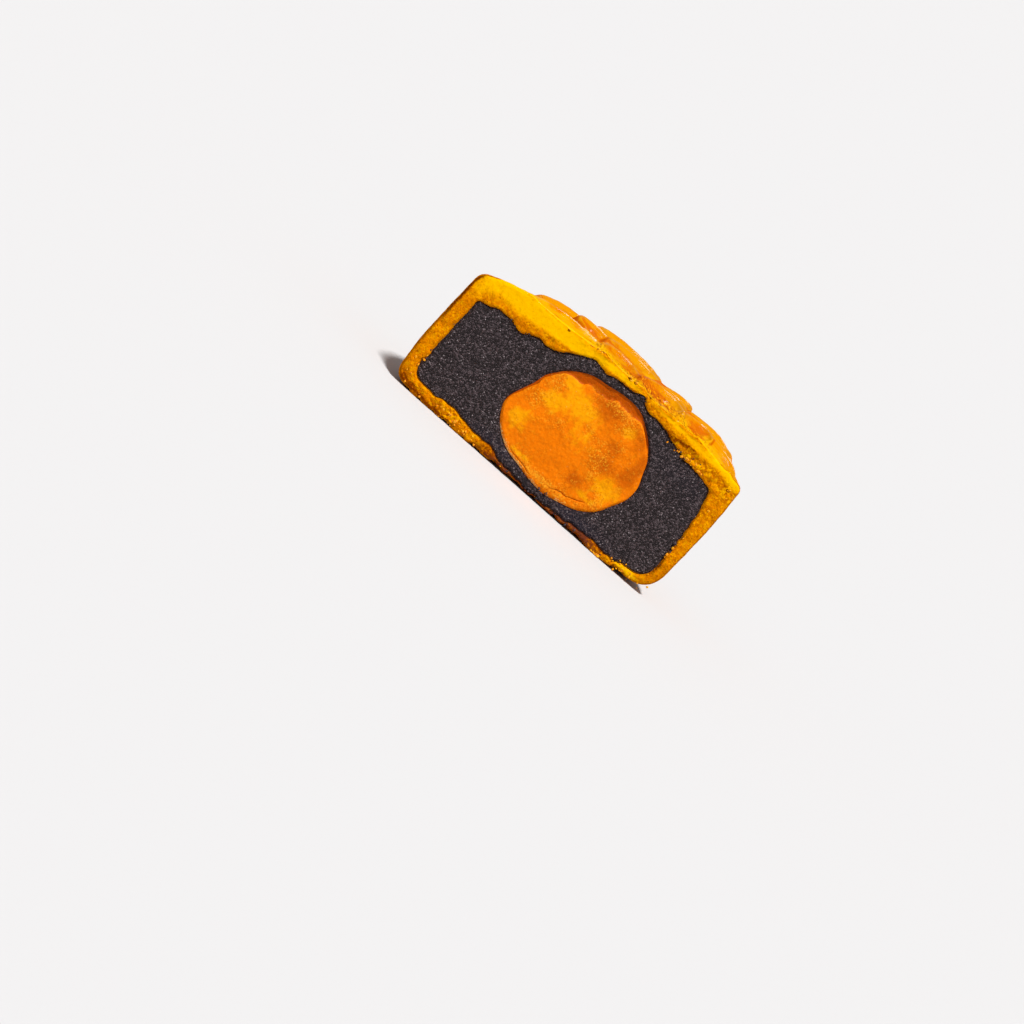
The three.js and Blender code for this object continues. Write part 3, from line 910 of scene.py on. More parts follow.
def crumb_colour(f, crust, grain, own, yellow, pits):
    """Granular gold, or smooth yellow where the knife smeared it, with brown grains, baked and
    soaked patches, and dark pits. The soaked patches are partly painted shade, and the pits' dark
    is painted shade."""
    dry, grit = 1 - yellow, f.mark("grit")
    crumb = f.colour(yellow, crust.crumb_gold, crust.crumb_yellow)
    crumb = f.colour(f.step(own, 0.55, 0.95) * (0.1 + 0.3 * dry), crumb, crust.crumb_yellow)
    dark = f.step(own, 0.3, 0.05) * (0.06 + 0.34 * dry)
    clump = f.cells(0.7 * MM, out="Color")
    crumb = f.colour(f.step(clump, 0.6, 0.8) * grit * 0.75, crumb, crust.crumb_yellow)
    crumb = f.colour(f.step(clump, 0.4, 0.15) * grit * 0.6, crumb, crust.crumb_brown)
    baked = f.mark("toast")
    toast = f.step(baked + 1.1 * (grain - 0.5) + 0.4 * (own - 0.5), 0.25, 0.95)
    toast = toast * f.step(baked, 0.02, 0.25)
    crumb = f.colour(f.maths("MAXIMUM", toast, dark), crumb, crust.crumb_brown)
    # The soaked base: dark from the paste, and partly painted shade.
    soaked = f.step(f.mark("soaked") + 1.8 * (grain - 0.5), 0.2, 1.15)
    crumb = f.colour(soaked, crumb, crust.soaked)
    return f.colour(pits * 0.9, crumb, crust.skin_brown)


def crust_finish(crust):
    """Golden skin, glossy with egg wash on the lid, and the granular cut crust. The line between
    them wanders, and the cut crust is browned along it except at the lid."""
    gloss = {"Specular IOR Level": 0.0, "Coat Roughness": 0.12, "Coat IOR": 1.4}
    f = Finish("baked crust", gloss)
    inward, wash, line = f.mark("inward"), f.mark("wash"), f.mark("line")
    grain, fine, crumbly = f.cloud(0.6 * MM, 3), f.cloud(0.25 * MM, 2), f.cloud(2.4 * MM, 3)
    own = f.cells(0.36 * MM, out="Color")
    yellow = f.step(f.mark("smear") + 0.7 * (crumbly - 0.5), 0.25, 0.8)
    # Painted shade: the pits are painted brown, with only a shallow bump for their hollow.
    holes = f.cells(1.1 * MM) + 0.3 * (grain - 0.5)
    pits = f.step(holes + 0.5 * (1 - f.mark("pits")), 0.36, 0.26)
    skin = skin_colour(f, crust, grain, fine, own)
    crumb = crumb_colour(f, crust, grain, own, yellow, pits)

    reach = 0.35 * MM + 0.6 * MM * (crumbly - 0.5)
    edge = inward + 0.7 * MM * (grain - 0.5) + f.mark("lap") * reach
    browned = f.step(edge - 0.7 * MM * line, 0.4 * MM, -0.3 * MM) * line
    crumb = f.colour(browned, crumb, crust.skin_brown)
    cut = f.step(edge, 0.03 * MM, 0.35 * MM)
    base = f.colour(cut * (1 - 0.5 * f.step(inward, -0.1 * MM, -1.5 * MM)), skin, crumb)

    dry = 1 - yellow
    granular = cut * (0.15 + 0.85 * dry)
    relief = grain * (0.3 + 0.9 * granular) + fine * (0.15 + 0.7 * granular)
    clumps = f.cells(0.7 * MM) * f.mark("grit")
    f.bump(relief - 0.5 * pits * cut - clumps, 0.2 * MM)
    coat = 0.05 * wash + 0.8 * f.mark("ridge") * f.step(grain, 0.2, 0.45)
    roughness = 0.55 - 0.15 * wash + cut * 0.15 * dry
    return f.done({"Base Color": base, "Roughness": roughness, "Coat Weight": coat})


def paste_finish(paste):
    """Near-black and granular, with paler grains, a painted highlight on a few of them, and bluer moist
    patches.
    """
    f = Finish("sesame paste", {"Specular IOR Level": 0.3})
    grain = f.cells(0.26 * MM)
    own = f.cells(0.26 * MM, out="Color")
    clumps = f.cloud(1.1 * MM, 3, stretch=(1, 1, 2))
    pale = f.step(own + 0.4 * (clumps - 0.5), 0.45, 0.95)
    ground = f.colour(f.mark("moist"), paste.black, paste.moist)
    base = f.colour(pale, ground, paste.grey)
    # Painted highlight: a few grains are painted pale for the glint they would catch.
    painted_glint = f.step(own, 0.955, 0.985) * f.step(grain, 0.5, 0.2)
    base = f.colour(painted_glint, base, paste.painted_glint)
    f.bump((1 - grain) * 1.5 + clumps * 0.4, 0.2 * MM)
    return f.done({"Base Color": base, "Roughness": 0.65 - 0.25 * pale})


def yolk_finish(yolk):
    """Mottled orange with bright patches, dry grains, rusty spots and a dense red outer layer. Its red
    is also painted shade where the face dips along it, and in the cracks.
    """
    f = Finish("egg yolk", {"Specular IOR Level": 0.04})
    rim, rust, sun, meal = f.mark("rim"), f.mark("rust"), f.mark("sun"), f.mark("meal")
    mottle = f.cloud(1.9 * MM, 4, stretch=(0.8, 1, 1.25))
    grain = f.cloud(0.35 * MM, 2)
    own = f.cells(0.22 * MM, out="Color")
    dry = f.step(f.cloud(4 * MM, 2) + 0.5 * meal + 0.3 * (mottle - 0.5), 0.5, 0.8)
    base = f.colour(f.step(sun + 1.3 * (mottle - 0.5), 0.08, 0.62), yolk.orange, yolk.yellow)
    spots = f.step(rust + 1.1 * (mottle - 0.5) + 0.6 * (grain - 0.5), 0.2, 0.9)
    base = f.colour(spots * 0.85, base, yolk.rust)
    base = f.colour(f.step(meal + 2.2 * (grain - 0.5), 0.5, 1.1) * 0.4, base, yolk.meal)
    base = f.colour(f.step(own, 0.3, 0.05) * (0.12 + 0.38 * dry), base, yolk.rust)
    base = f.colour(f.step(own, 0.65, 0.95) * (0.1 + 0.45 * dry), base, yolk.meal)
    # The outer layer's red, which is partly painted shade where the face dips and in the cracks.
    base = f.colour(f.step(rim + 0.8 * (grain - 0.5), 0.25, 0.75) * 0.85, base, yolk.red)
    pale = f.step(f.mark("pale_rim") + 1.6 * (grain - 0.5) + 0.7 * (own - 0.5), 0.5, 1.0)
    base = f.colour(pale * 0.75, base, yolk.pale)
    f.bump(grain * (0.4 + 0.6 * dry) + own * (0.05 + 0.3 * dry) + mottle * 0.3, 0.12 * MM)
    return f.done({"Base Color": base, "Roughness": 0.62 - 0.25 * rim})


def crumb_finish(name, ground, light):
    """One colour with lighter spots, for loose crumbs."""
    f = Finish(name, {"Specular IOR Level": 0.3, "Roughness": 0.7})
    grain = f.cloud(0.3 * MM, 3)
    base = f.colour(f.step(grain, 0.42, 0.62), ground, light)
    f.bump(grain, 0.08 * MM)
    return f.done({"Base Color": base})


# Painted spots


# Each is a place and two half widths in millimetres, and a strength. The lid's are in x and y,
# and the cut's in x and z. First, the orange hollows of the flower, whose orange is painted shade.
LID_ORANGES = (
    (8, 7, 3.5, 6, 0.9), (-16, 2.5, 1.5, 2, 0.5), (-19, 9, 3, 2, 0.8), (-9, 14, 2.5, 2.5, 0.9),
    (4.7, 7, 0.8, 5, 0.9), (20, 7, 1.8, 5, 1.0), (-5.5, 5, 0.7, 3, 0.9), (0, 17, 5, 2, 0.5),
    (-9, 3, 3, 1.2, 0.5), (9, 20, 2, 2, 0.4), (24, 12, 2, 3, 0.5),
)
# Lighter skin
LID_LIGHTS = (
    (-24, 0, 8, 3, 1.0), (-14, 2, 8, 5, 1.3), (-4, 3, 3, 6, 1.2), (2, 0, 3, 3, 1.0),
    (16.5, 2, 1.5, 5, 1.0), (24, 2, 4, 8, 0.9), (12, 0, 8, 1, 0.8), (-14, 12, 4, 3, 0.6),
    (6, 17, 2, 2, 0.6), (-2, 24, 6, 2, 0.5),
)
# Patches of the lid as glossy as its ridges
LID_GLOSSES = (
    (20.5, 16, 1.5, 2, 0.7), (27.5, 8, 1.5, 3.5, 0.35), (-8, 24, 1.5, 1, 0.6), (12, 23, 2, 1, 0.5),
    (-26, 8, 4, 5, 0.5),
)
# Where the knife smeared the cut crust smooth and yellow
SMEARS = (
    (-24, 28, 8, 2.4, 1.0), (-12, 28.6, 9, 1.5, 1.0), (-1, 30.2, 8, 0.9, 0.8),
    (14, 30, 5, 0.6, 0.55), (26, 29.6, 8, 1.1, 0.8), (33, 18, 1.8, 9, 0.3), (27, 1.7, 4, 0.9, 0.9),
    (-31, 24.5, 2.4, 3.5, 0.55), (31.5, 28.6, 2.6, 1.3, 0.6),
)
# Browner cut crust
TOASTS = (
    (-12.5, 26.7, 2.5, 0.8, 0.36), (-20.5, 24.6, 3, 0.7, 0.6), (16.5, 27.9, 2.5, 0.6, 0.8),
    (20.8, 28.3, 3, 0.6, 0.4), (20, 28.5, 2, 0.5, 0.4), (-29.5, 1.2, 5, 0.9, 0.9),
    (31.7, 26.9, 0.8, 0.8, 0.3), (-9, 1.4, 3, 1.2, 0.8), (17, 1.2, 5, 0.9, 0.8), (31.3, 6, 0.9, 5, 0.35),
    (-31.5, 2.6, 1.4, 1.4, 0.5), (-21, 0.6, 6, 0.5, 0.9), (-1, 0.6, 9, 0.6, 0.5),
    (9.5, 30.9, 3.5, 0.35, 0.6), (32.6, 5, 0.8, 4, 0.4),
)
# The thin, dark base under the yolk, soaked by the paste and darkened further as painted shade
SOAKED_AND_SHADED_SPOTS = ((0.5, 0.3, 8, 1.9, 2.0), (9.5, 2, 3, 1.4, 1.1), (15, 0.5, 4.5, 1.7, 1.4))
# Open pits in the cut crust, and a few dark crumbs; the pits' dark is painted shade
PIT_SPOTS = (
    (-27.5, 25.6, 2.2, 0.9, 0.9), (-13.3, 29.9, 1.6, 0.4, 0.8), (31.6, 26.6, 1.5, 1.4, 0.8),
    (-19.5, 25.2, 4, 0.6, 0.5), (2, 31, 6, 0.4, 0.9), (-7, 31.4, 2, 0.4, 0.9),
    (9, 30.7, 4, 0.5, 0.8), (20, 27, 4, 0.8, 0.4), (14, 28.6, 3, 0.5, 0.5),
    (31.3, 27.1, 0.5, 0.35, 1.1), (32.4, 26.9, 0.35, 0.45, 1.1), (30.7, 25.9, 0.5, 0.3, 1.0),
    (-5.2, 31.2, 0.5, 0.3, 1.4), (2.2, 30.7, 0.5, 0.3, 1.1), (3.6, 30.9, 0.3, 0.25, 1.1),
    (-13, 29.9, 0.4, 0.25, 1.0), (0.6, 31.1, 0.4, 0.25, 1.4),
)
# Where the cut crust laps over the lid's edge, and the pits there, whose dark is painted shade
LAP_SPOTS = ((-3.5, 0, 3.5, 7, 1.0), (-11, 0, 5, 3, 0.3), (3, 0, 3, 3, 0.3), (22, 0, 3.5, 7, 0.5))
LID_PIT_SPOTS = (
    (-5.5, 3, 2.5, 3, 0.9), (2, 1.5, 3, 1.5, 0.9), (9, 1, 4, 1, 0.8), (18, 0.5, 3, 1, 0.5),
)
# Crumbs on the lid by the cut
LID_GRIT_SPOTS = (
    (10, 5, 6, 6, 1.0), (1, 3, 6, 4, 1.0), (18, 3, 4, 4, 0.9), (-5, 4, 3, 4, 0.7),
    (24, 1.5, 5, 2, 0.6),
)
# The most granular cut crust
GRIT_SPOTS = (
    (-21, 1.6, 9, 1.3, 1.0), (31.5, 26.8, 2.5, 2, 1.0), (21, 27.4, 6, 1.2, 1.2),
    (26, 1.2, 5, 1, 0.7), (-14, 26.4, 4, 1, 0.4), (9, 30.8, 4, 0.5, 0.7),
)
# Bluer, moist paste
MOIST_SPOTS = ((13, 2.6, 8, 1.8, 0.8), (-8, 3.4, 7, 1.2, 0.7), (23, 23, 7, 3, 0.25))
# The yolk's dark, mealy and bright patches
RUST_SPOTS = (
    (7.2, 8.6, 2.0, 1.6, 0.9), (9.5, 14.8, 2.4, 1.8, 0.7), (9.1, 18.4, 1.8, 1.4, 0.7),
    (14.9, 15.8, 1.8, 2.2, 1.0), (-2.6, 13, 2.6, 2, 0.3), (-8.5, 18.5, 1.6, 1.4, 0.4),
    (3, 24.4, 5, 1.6, 0.8), (4, 22.2, 4, 1.8, 0.6), (-7, 8, 2.5, 1.6, 0.3),
    (1, 7.4, 3, 1.2, 0.25), (12.5, 23, 2.6, 2.6, 0.7), (15.6, 19.8, 1.2, 3, 0.9),
    (11.5, 13, 6, 7, 0.28), (2, 17.5, 9, 9, 0.1),
)
MEAL_SPOTS = (
    (2, 4.2, 9, 1.3, 1.0), (-8.5, 22, 3, 4, 0.7), (5, 25, 6, 1.5, 0.8), (8.5, 14, 2.5, 7, 0.6),
    (14, 7.5, 2, 2, 0.7), (-9, 15, 2, 2, 0.5),
)
SUN_SPOTS = (
    (-0.6, 20.2, 4, 2.6, 0.8), (-6.2, 17.5, 2.4, 2.0, 0.8), (-9, 10.5, 2.4, 2.4, 0.7),
    (13, 11.2, 3, 2.4, 0.75), (3, 15.5, 3, 2, 0.4), (-5, 22.6, 2, 1.2, 0.7),
    (9.5, 22.6, 1.6, 1.2, 0.7), (-0.5, 24.9, 1.8, 0.5, 0.9), (11, 7.2, 2, 0.7, 0.6),
    (-4, 5.2, 2.5, 0.5, 0.6),
)
# Where loose crumbs lie on the cut. The last number is a share of their count.
CRUST_CRUMB_AREAS = (
    (-20, 1.4, 8, 0.9, 4), (22, 26.4, 3.5, 0.6, 3), (26, 1.6, 4, 0.8, 3),
    (31, 26.5, 1.2, 1.6, 1), (31, 10, 0.5, 8, 1), (-31, 6, 1.2, 4, 1), (20.4, 0.3, 0.8, 0.3, 1),
    (-5, 30.9, 3, 0.3, 1), (2.5, 30.8, 2, 0.3, 1),
)
PASTE_CRUMB_AREAS = (
    (6.8, 29.6, 1.0, 0.4, 2), (2, 2.4, 10, 0.5, 3), (-20, 23.6, 8, 0.5, 2),
    (20, 26.6, 8, 0.6, 2), (-30.4, 12, 0.4, 8, 1), (30.8, 12, 0.5, 8, 1), (8, 1, 10, 0.4, 2),
)


def painted(points, patches, axis=2, most=np.inf):
    """The sum of soft oval patches (x, place along the axis, half widths, strength), up to the
    most that it may be."""
    total = 0
    for x, other, half_width, half_height, strength in patches:
        across = (points[..., 0] / MM - x) / half_width
        up = (points[..., axis] / MM - other) / half_height
        total = total + strength * np.exp(-(across**2 + up**2))
    return np.minimum(total, most)


# Pieces


def angles_round(crust):
    """Angles from +X over the back to -X, crowded into the grooves by a sine of the flutes."""
    even = np.linspace(0, math.pi, CRUST_COLUMNS + 1)
    return even + CRUST_SQUEEZE * np.sin(crust.flutes * even) / crust.flutes


def between(outer, inner, rows):
    """Rows of points from one outline to the other, closer together near both, with each
    point's distance from either."""
    even = np.linspace(0, 1, rows + 1)
    share = mix(even, (1 - np.cos(math.pi * even)) / 2, 0.5)[:, None]
    width = np.linalg.norm(inner - outer, axis=-1)
    return mix(outer, inner, share[..., None]), share * width, (1 - share) * width


def moved_skin(grid):
    """The grid moved along its normals by fine lumps. Its edges stay on the cut, the floor and the
    lid end there in one point each side, and nothing sinks under the base."""
    skin = grid_patch(grid)
    height = lumps(skin.points, SKIN_LUMPS)
    moved = (skin.points + normals_of(skin) * height[:, None]).reshape(grid.shape)
    moved[0, :, 1] = moved[-1, :, 1] = moved[:, 0, 1] = moved[:, -1, 1] = 0
    for end in (0, -1):
        moved[: FLOOR_ROWS + 1, end] = moved[FLOOR_ROWS, end]
        moved[-LID_ROWS - 1 :, end] = moved[-LID_ROWS - 1, end]
    moved[..., 2] = np.maximum(moved[..., 2], 0)
    return moved


def skin_marks(grid, shape, angles):
    """What the material looks up on the skin. Egg wash covers the lid and fades into the wall, and
    a place is as brown as the grooves, the foot, the crease or the soaked base make it. The brown
    of the grooves and of the crease under the shoulder is painted shade, and so is part of the
    soaked base's dark."""
    crust = shape.crust
    x, y, z = grid[..., 0], grid[..., 1], grid[..., 2]
    rows = np.arange(len(grid))[:, None]
    wash = smooth(rows, FLOOR_ROWS + CORNER_ROWS + WALL_ROWS - 6, len(grid) - LID_ROWS + 2)
    # The soaked base is partly painted shade.
    soaked = painted(grid, SOAKED_AND_SHADED_SPOTS) * bell(y, SOAKED_AND_SHADED_BEHIND)
    # Painted shade: the flutes' grooves are painted brown.
    groove = smooth(grooves(angles, crust) / crust.flute_depth, 0.35, 1.0) * (1 - wash)
    foot = 0.5 * smooth(z, FOOT_BROWN_TOP, FOOT_BROWN_FULL)
    # Painted shade also in the crease under the shoulder; the foot's brown is baked.
    brown = np.maximum(np.maximum(0.8 * groove, foot), 0.6 * shape.crease(angles, z))
    flower, ridge, crease = flower_lid(x, y, crust)
    ridge = np.minimum(np.maximum(ridge, painted(grid, LID_GLOSSES, 1)), 1)
    near = 1 - smooth(y, NEAR_CUT, OFF_CUT)
    # Painted shade: the lid's colour follows its relief. It is darker in the flower's hollows, in the
    # creases round its petals and in LID_ORANGES, and lighter on the raised parts and by the cut.
    raised = 0.5 + (flower - plain_lid(x, y, crust)) / (3 * MM) + 0.3 * near
    raised = raised - painted(grid, LID_ORANGES, 1) - 0.8 * crease * (1 - 0.8 * near)
    light = painted(grid, LID_LIGHTS, 1) + 0.35 * rough(grid, LIGHT_SIZE, 13)
    return {
        "wash": wash,
        "soaked": soaked,
        "groove": np.maximum(brown, np.minimum(soaked, 1)),
        "ridge": ridge * wash,
        "raised": np.clip(raised, 0, 1),
        "smear": wash * smooth(light, 0.3, 0.7),
        "inward": -y,
        "lap": wash * (1 + LAP_TIMES * painted(grid, LAP_SPOTS, 1)),
        "pits": painted(grid, LID_PIT_SPOTS, 1, most=1),
        "grit": painted(grid, LID_GRIT_SPOTS, 1, most=1),
    }


def band_patch(outline, paste_edge):
    """The cut crust, from the skin's edge to the paste's: crumbly where the knife didn't smear it,
    rounded at the skin and creased at the paste."""
    band, inward, paste_gap = between(outline, paste_edge, BAND_ROWS)
    smear = painted(band, SMEARS, most=1)
    soaked = painted(band, SOAKED_AND_SHADED_SPOTS)
    crumble = lumps(band, CRUMBLE) * (1 - 0.7 * smear)
    crumble *= smooth(np.minimum(inward, paste_gap), 0, LUMPS_START)
    band[..., 1] -= EDGE_ROUND * (1 - bell(inward, EDGE_ROUND_WIDTH)) + crumble
    band[..., 1] += (EDGE_ROUND + SEAM_DEPTH) * bell(paste_gap, SEAM_WIDTH)
    band[0, :, 1] = 0
    band[-1, :, 1] = SEAM_DEPTH
    x, z = outline[:, 0], outline[:, 2]
    top = smooth(z, SIDE_HEIGHT, TOP_HEIGHT)
    left = mix(0.55, 1, smooth(z, LINE_LOW, LINE_HIGH))
    return grid_patch(
        band, True, inward=inward, smear=smear, lap=top,
        line=(1 - top) * mix(left, 0.25, smooth(x, LINE_LEFT, LINE_RIGHT)),
        toast=painted(band, TOASTS) + 0.35 * bell(paste_gap, SEAM_TOAST),
        soaked=np.minimum(soaked, 1), groove=np.clip(soaked, 0.4 * (1 - top), 1),
        grit=painted(band, GRIT_SPOTS, most=1), pits=painted(band, PIT_SPOTS, most=2),
    )


def crust_piece(crust, paste):
    """The skin is half_round's grid with fine lumps. On the cut a band of rings runs from its
    outline to the paste's, and behind it hollow_rings line the hollow."""
    angles = angles_round(crust)
    shape = CrustShape(crust)
    grid = half_round(shape, angles)
    skin = moved_skin(grid)
    rings = hollow_rings(PasteShape(crust, paste), angles)
    band = band_patch(cut_outline(skin), rings[0])
    rings[0, :, 1] = SEAM_DEPTH
    return joined([
        grid_patch(skin, **skin_marks(grid, shape, angles)),
        band,
        grid_patch(rings, True, inward=2 * MM),
    ])


def paste_piece(crust, paste, yolk):
    """hollow_rings turned inside out make the back, rings from the paste's outline to the yolk's
    make the face, and yolk_rings line the yolk's bed."""
    back = hollow_rings(PasteShape(crust, paste), angles_round(crust))
    middle = np.array([yolk.x, 0, yolk.z])
    reach = (back[0] - middle) / [yolk.half_width, 1, yolk.half_height]
    edge = yolk_outline(np.arctan2(reach[:, 2], reach[:, 0]), yolk)
    face, crust_gap, yolk_gap = between(back[0], edge, PASTE_FACE_ROWS)
    relief = lumps(face * STREAK_PRESS, PASTE_STREAKS) + lumps(face, PASTE_GRAINS)
    relief *= smooth(np.minimum(crust_gap, yolk_gap), 0, LUMPS_START)
    seams = bell(crust_gap, SEAM_WIDTH) + bell(yolk_gap, SEAM_WIDTH)
    face[..., 1] = SEAM_DEPTH * np.minimum(seams, 1) - relief
    face[0, :, 1] = face[-1, :, 1] = SEAM_DEPTH
    back[0, :, 1] = SEAM_DEPTH
    bed = yolk_rings(edge, yolk)
    bed[0, :, 1] = SEAM_DEPTH
    return joined([
        grid_patch(back, True, inside_out=True),
        grid_patch(face, True, moist=painted(face, MOIST_SPOTS, most=1)),
        grid_patch(bed, True),
    ])


def square_to_disc(steps):
    """Radius and angle for each point of a square grid laid over a disc: each square ring becomes
    a circle, along which the points keep their even steps."""
    across, up = np.meshgrid(*[np.linspace(-1, 1, steps + 1)] * 2)
    radius = np.maximum(np.abs(across), np.abs(up))
    wide = np.abs(across) >= np.abs(up)
    share = np.where(wide, up, across) / np.maximum(radius, 1e-9) * math.pi / 4
    sides = np.where(across > 0, share, math.pi - share)
    ends = np.where(up > 0, math.pi / 2 - share, -math.pi / 2 + share)
    return radius, np.where(wide, sides, ends)


def ring_of(grid):
    """The outer ring of a square grid, once round against the clock."""
    return np.concatenate([grid[0, :-1], grid[:-1, -1], grid[-1, :0:-1], grid[:0:-1, 0]])


def yolk_piece(yolk):
    """A square grid laid over the outline makes the face: slightly domed, lower where the dense
    outer layer shows, and cracked in two places near its crumbly edge. yolk_rings inside out
    make the back."""
    radius, angle = square_to_disc(YOLK_STEPS)
    edge = yolk_outline(angle, yolk)
    middle = np.array([yolk.x, 0, yolk.z])
    face = mix(middle, edge, radius[..., None])
    gap = (1 - radius) * np.linalg.norm(edge - middle, axis=-1)
    ragged = np.maximum(1 + 0.35 * rough(face, 2.5 * MM, 71), 0.3)
    reach = np.cos(angle - CRESCENT)
    thickness = mix(*CRESCENT_THICKNESS, smooth(reach, 0.75, 0.99))
    shown = smooth(np.cos(angle - CRESCENT_SHOWN), 0.05, 0.35)
    rim = smooth(gap / (thickness * ragged), 1.3, 0.8) * shown
    patchy = smooth(rough(face, 2 * MM, 77), -0.6, 0.5)
    pale_rim = smooth(np.cos(angle - PALE_RIM), 0.6, 0.85) * patchy
    pale_rim = pale_rim * bell(gap, PALE_RIM_WIDTH * ragged)
    x = face[..., 0] / MM
    along = sum(smooth(x, start, whole) * smooth(x, end, fades)
                for start, whole, fades, end in CRACKS)
    crack_gap = mix(*CRACK_GAPS, smooth(x, 0, 6)) * mix(1, ragged, 0.5)
    crack = along * (face[..., 2] < yolk.z) * bell(gap - crack_gap, CRACK_WIDTH)
    relief = lumps(face, YOLK_LUMPS) + YOLK_DOME * smooth(gap, 0, YOLK_DOME_REACH)
    relief = relief - CRESCENT_DEPTH * rim - CRACK_DEPTH * crack
    relief *= smooth(gap, 0, LUMPS_START)
    face[..., 1] = SEAM_DEPTH * bell(gap, SEAM_WIDTH) - relief
    back = yolk_rings(ring_of(edge), yolk)
    back[0] = ring_of(face)
    return joined([
        # The cracks take the outer layer's red as painted shade.
        grid_patch(face, rim=rim + 0.6 * crack, pale_rim=pale_rim, rust=painted(face, RUST_SPOTS),
                   sun=painted(face, SUN_SPOTS), meal=painted(face, MEAL_SPOTS)),
        grid_patch(back, True, inside_out=True),
    ])


def lumps_at(centres, sizes, seed):
    """Lumpy balls joined in one patch: a ball's points are a function of height and angle, pushed
    in and out by noise, and each ball is squeezed and turned in its own way."""
    draw = np.random.default_rng(seed)
    height = np.linspace(-math.pi / 2, math.pi / 2, 6)[:, None]
    angle = np.linspace(0, TAU, 7, endpoint=False)
    ball = np.stack(np.broadcast_arrays(
        np.cos(height) * np.cos(angle), np.cos(height) * np.sin(angle), np.sin(height)), -1)
    patches = []
    for centre, size in zip(centres, sizes):
        squeeze = draw.uniform(0.5, 1.2, 3)
        turn = np.array(Quaternion(draw.normal(size=4)).normalized().to_matrix())
        lump = ball * (1 + 0.45 * noise(ball + centre * 1e4, 0.8, seed)[..., None]) * squeeze
        grid = centre + (lump @ turn) * size / 2
        grid[0], grid[-1] = grid[0].mean(0), grid[-1].mean(0)
        patches.append(grid_patch(grid, True))
    return joined(patches)


def crumb_places(areas, count, seed):
    """Places on the cut face, in normal spreads round the middles of ovals (x, z, half width, half
    height, share), in millimetres."""
    draw = np.random.default_rng(seed)
    areas = np.array(areas, float)
    chosen = areas[draw.choice(len(areas), count, p=areas[:, 4] / areas[:, 4].sum())]
    spread = draw.normal(size=(count, 2)) * 0.6
    x = chosen[:, 0] + spread[:, 0] * chosen[:, 2]
    z = chosen[:, 1] + spread[:, 1] * chosen[:, 3]
    return np.stack([x, x * 0, z], -1) * MM


def crumbs_piece(areas, count, size, seed):
    """Loose crumbs, half sunk in the cut face, in many sizes."""
    draw = np.random.default_rng(seed + 1)
    places = crumb_places(areas, count, seed)
    sizes = size * draw.lognormal(0, 0.35, count).clip(0.4, 2)
    places[:, 1] = -CRUMB_OUT * sizes
    places[:, 2] = np.maximum(places[:, 2], sizes * 0.5)
    return lumps_at(places, sizes, seed + 2)


# Stage


def stage_floor(stage):
    """A pale, flat floor that fills the picture."""
    mesh = bpy.data.meshes.new("floor")
    ways = ((-1, -1), (1, -1), (1, 1), (-1, 1))
    corners = [(x * FLOOR_REACH, y * FLOOR_REACH, 0) for x, y in ways]
    mesh.from_pydata(corners, [], [(0, 1, 2, 3)])
    finish = Finish("floor", {"Specular IOR Level": 0.0, "Roughness": 1.0})
    mesh.materials.append(finish.done({"Base Color": stage.floor}))
    floor = bpy.data.objects.new("floor", mesh)
    bpy.context.scene.collection.objects.link(floor)


def stage_light():
    """Even light from all round, a softened lamp from above and a little in front, and one behind
    that shows in the gloss alone and draws the bright lines on the flower's ridges."""
    world = bpy.data.worlds.new("studio")
    world.use_nodes = True
    nodes, links = world.node_tree.nodes, world.node_tree.links
    background = nodes["Background"]
    background.inputs["Color"].default_value = (0.97, 0.98, 1, 1)
    path = nodes.new("ShaderNodeLightPath")
    strength = nodes.new("ShaderNodeMapRange")
    strength.inputs["To Min"].default_value = WORLD_LIGHT
    strength.inputs["To Max"].default_value = WORLD_SEEN
    links.new(path.outputs["Is Camera Ray"], strength.inputs["Value"])
    links.new(strength.outputs["Result"], background.inputs["Strength"])
    bpy.context.scene.world = world

    for name, (energy, width, direction) in LAMPS.items():
        data = bpy.data.lights.new(name, "SUN")
        data.energy = energy
        data.angle = math.radians(width)
        data.color = (1, 0.98, 0.95)
        lamp = bpy.data.objects.new(name, data)
        lamp.rotation_mode = "QUATERNION"
        lamp.rotation_quaternion = Vector(direction).to_track_quat("Z", "Y")
        lamp.visible_diffuse = name == "key"
        bpy.context.scene.collection.objects.link(lamp)


def stage_camera(stage):
    """A long lens at the photograph's angle, rolled so that the cake leans as it does there."""
    data = bpy.data.cameras.new("camera")
    data.lens = stage.focal_length
    data.clip_start, data.clip_end = 0.05, 100
    cos, sin = math.cos(stage.elevation), math.sin(stage.elevation)
    back = Vector((math.sin(stage.azimuth) * cos, -math.cos(stage.azimuth) * cos, sin))
    aim = Vector((AIM_X, CUT_Y, AIM_Z))
    camera = bpy.data.objects.new("camera", data)
    camera.rotation_mode = "QUATERNION"
    camera.rotation_quaternion = back.to_track_quat("Z", "Y") @ Quaternion((0, 0, 1), stage.roll)
    camera.location = aim + back * stage.distance
    bpy.context.scene.collection.objects.link(camera)
    bpy.context.scene.camera = camera
    bpy.context.scene.view_settings.view_transform = "Standard"


# Operators and panel


class MOONCAKE_OT_crust(bpy.types.Operator):
    """Make the fluted crust with the flower in its lid"""

    bl_idname = "mooncake.crust"
    bl_label = "Crust"
    bl_options = {"REGISTER", "UNDO"}

    def execute(self, context):
        crust, paste = context.scene.mooncake_crust, context.scene.mooncake_paste
        patch = crust_piece(crust, paste)
        place("crust_piece", patch, crust_finish(crust), "baked_crust", "crust")
        return {"FINISHED"}


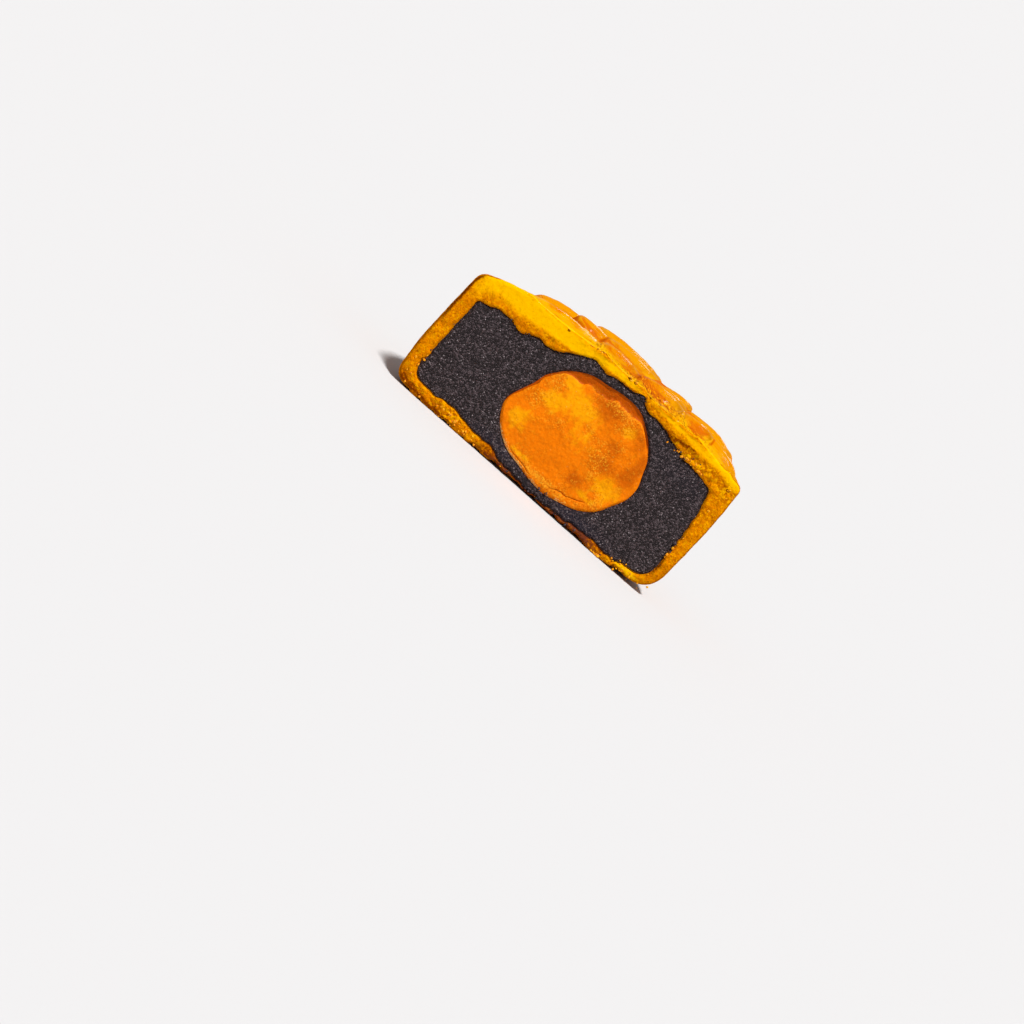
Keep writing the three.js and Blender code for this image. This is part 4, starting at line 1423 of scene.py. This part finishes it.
class MOONCAKE_OT_paste(bpy.types.Operator):
    """Make the black sesame paste"""

    bl_idname = "mooncake.paste"
    bl_label = "Sesame paste"
    bl_options = {"REGISTER", "UNDO"}

    def execute(self, context):
        scene = context.scene
        patch = paste_piece(scene.mooncake_crust, scene.mooncake_paste, scene.mooncake_yolk)
        finish = paste_finish(scene.mooncake_paste)
        place("paste_piece", patch, finish, "sesame_paste", "sesame_paste")
        return {"FINISHED"}


class MOONCAKE_OT_yolk(bpy.types.Operator):
    """Make the salted egg yolk"""

    bl_idname = "mooncake.yolk"
    bl_label = "Egg yolk"
    bl_options = {"REGISTER", "UNDO"}

    def execute(self, context):
        yolk = context.scene.mooncake_yolk
        place("yolk_piece", yolk_piece(yolk), yolk_finish(yolk), "egg_yolk", "egg_yolk")
        return {"FINISHED"}


class MOONCAKE_OT_crumbs(bpy.types.Operator):
    """Scatter loose crumbs of crust and of paste over the cut"""

    bl_idname = "mooncake.crumbs"
    bl_label = "Crumbs"
    bl_options = {"REGISTER", "UNDO"}

    def execute(self, context):
        scene = context.scene
        crust, paste, crumbs = scene.mooncake_crust, scene.mooncake_paste, scene.mooncake_crumbs
        golden = crumbs_piece(CRUST_CRUMB_AREAS, crumbs.crust_count, crumbs.size, 80)
        finish = crumb_finish("crust crumbs", crust.crumb_gold, crust.crumb_yellow)
        place("crust_crumbs", golden, finish, "baked_crust")
        small = crumbs.size * PASTE_CRUMB_SHARE
        black = crumbs_piece(PASTE_CRUMB_AREAS, crumbs.paste_count, small, 90)
        finish = crumb_finish("paste crumbs", paste.black, paste.grey)
        place("paste_crumbs", black, finish, "sesame_paste")
        return {"FINISHED"}


class MOONCAKE_OT_stage(bpy.types.Operator):
    """Set up the floor, the light and the camera"""

    bl_idname = "mooncake.stage"
    bl_label = "Stage"
    bl_options = {"REGISTER", "UNDO"}

    def execute(self, context):
        stage = context.scene.mooncake_stage
        stage_floor(stage)
        stage_light()
        stage_camera(stage)
        return {"FINISHED"}


OPERATORS = (
    MOONCAKE_OT_crust,
    MOONCAKE_OT_paste,
    MOONCAKE_OT_yolk,
    MOONCAKE_OT_crumbs,
    MOONCAKE_OT_stage,
)
SETTINGS = {
    "mooncake_crust": CrustSettings,
    "mooncake_paste": PasteSettings,
    "mooncake_yolk": YolkSettings,
    "mooncake_crumbs": CrumbSettings,
    "mooncake_stage": StageSettings,
}


class MOONCAKE_PT_pieces(bpy.types.Panel):
    """Lists the pieces with their sizes and colours"""

    bl_label = "Mooncake"
    bl_space_type = "VIEW_3D"
    bl_region_type = "UI"
    bl_category = "Mooncake"

    def draw(self, context):
        for operator, group in zip(OPERATORS, SETTINGS):
            box = self.layout.box()
            box.operator(operator.bl_idname)
            for name in SETTINGS[group].__annotations__:
                box.prop(getattr(context.scene, group), name)


CLASSES = (*SETTINGS.values(), *OPERATORS, MOONCAKE_PT_pieces)


def register():
    """Adds the operators, the panel and the settings of a scene."""
    for made in CLASSES:
        bpy.utils.register_class(made)
    for name, group in SETTINGS.items():
        setattr(bpy.types.Scene, name, PointerProperty(type=group))


def unregister():
    """Takes them away again."""
    for name in SETTINGS:
        delattr(bpy.types.Scene, name)
    for made in reversed(CLASSES):
        bpy.utils.unregister_class(made)


def main():
    """Makes every piece and the stage."""
    register()
    bpy.ops.mooncake.crust()
    bpy.ops.mooncake.paste()
    bpy.ops.mooncake.yolk()
    bpy.ops.mooncake.crumbs()
    bpy.ops.mooncake.stage()


if __name__ == "__main__":
    main()
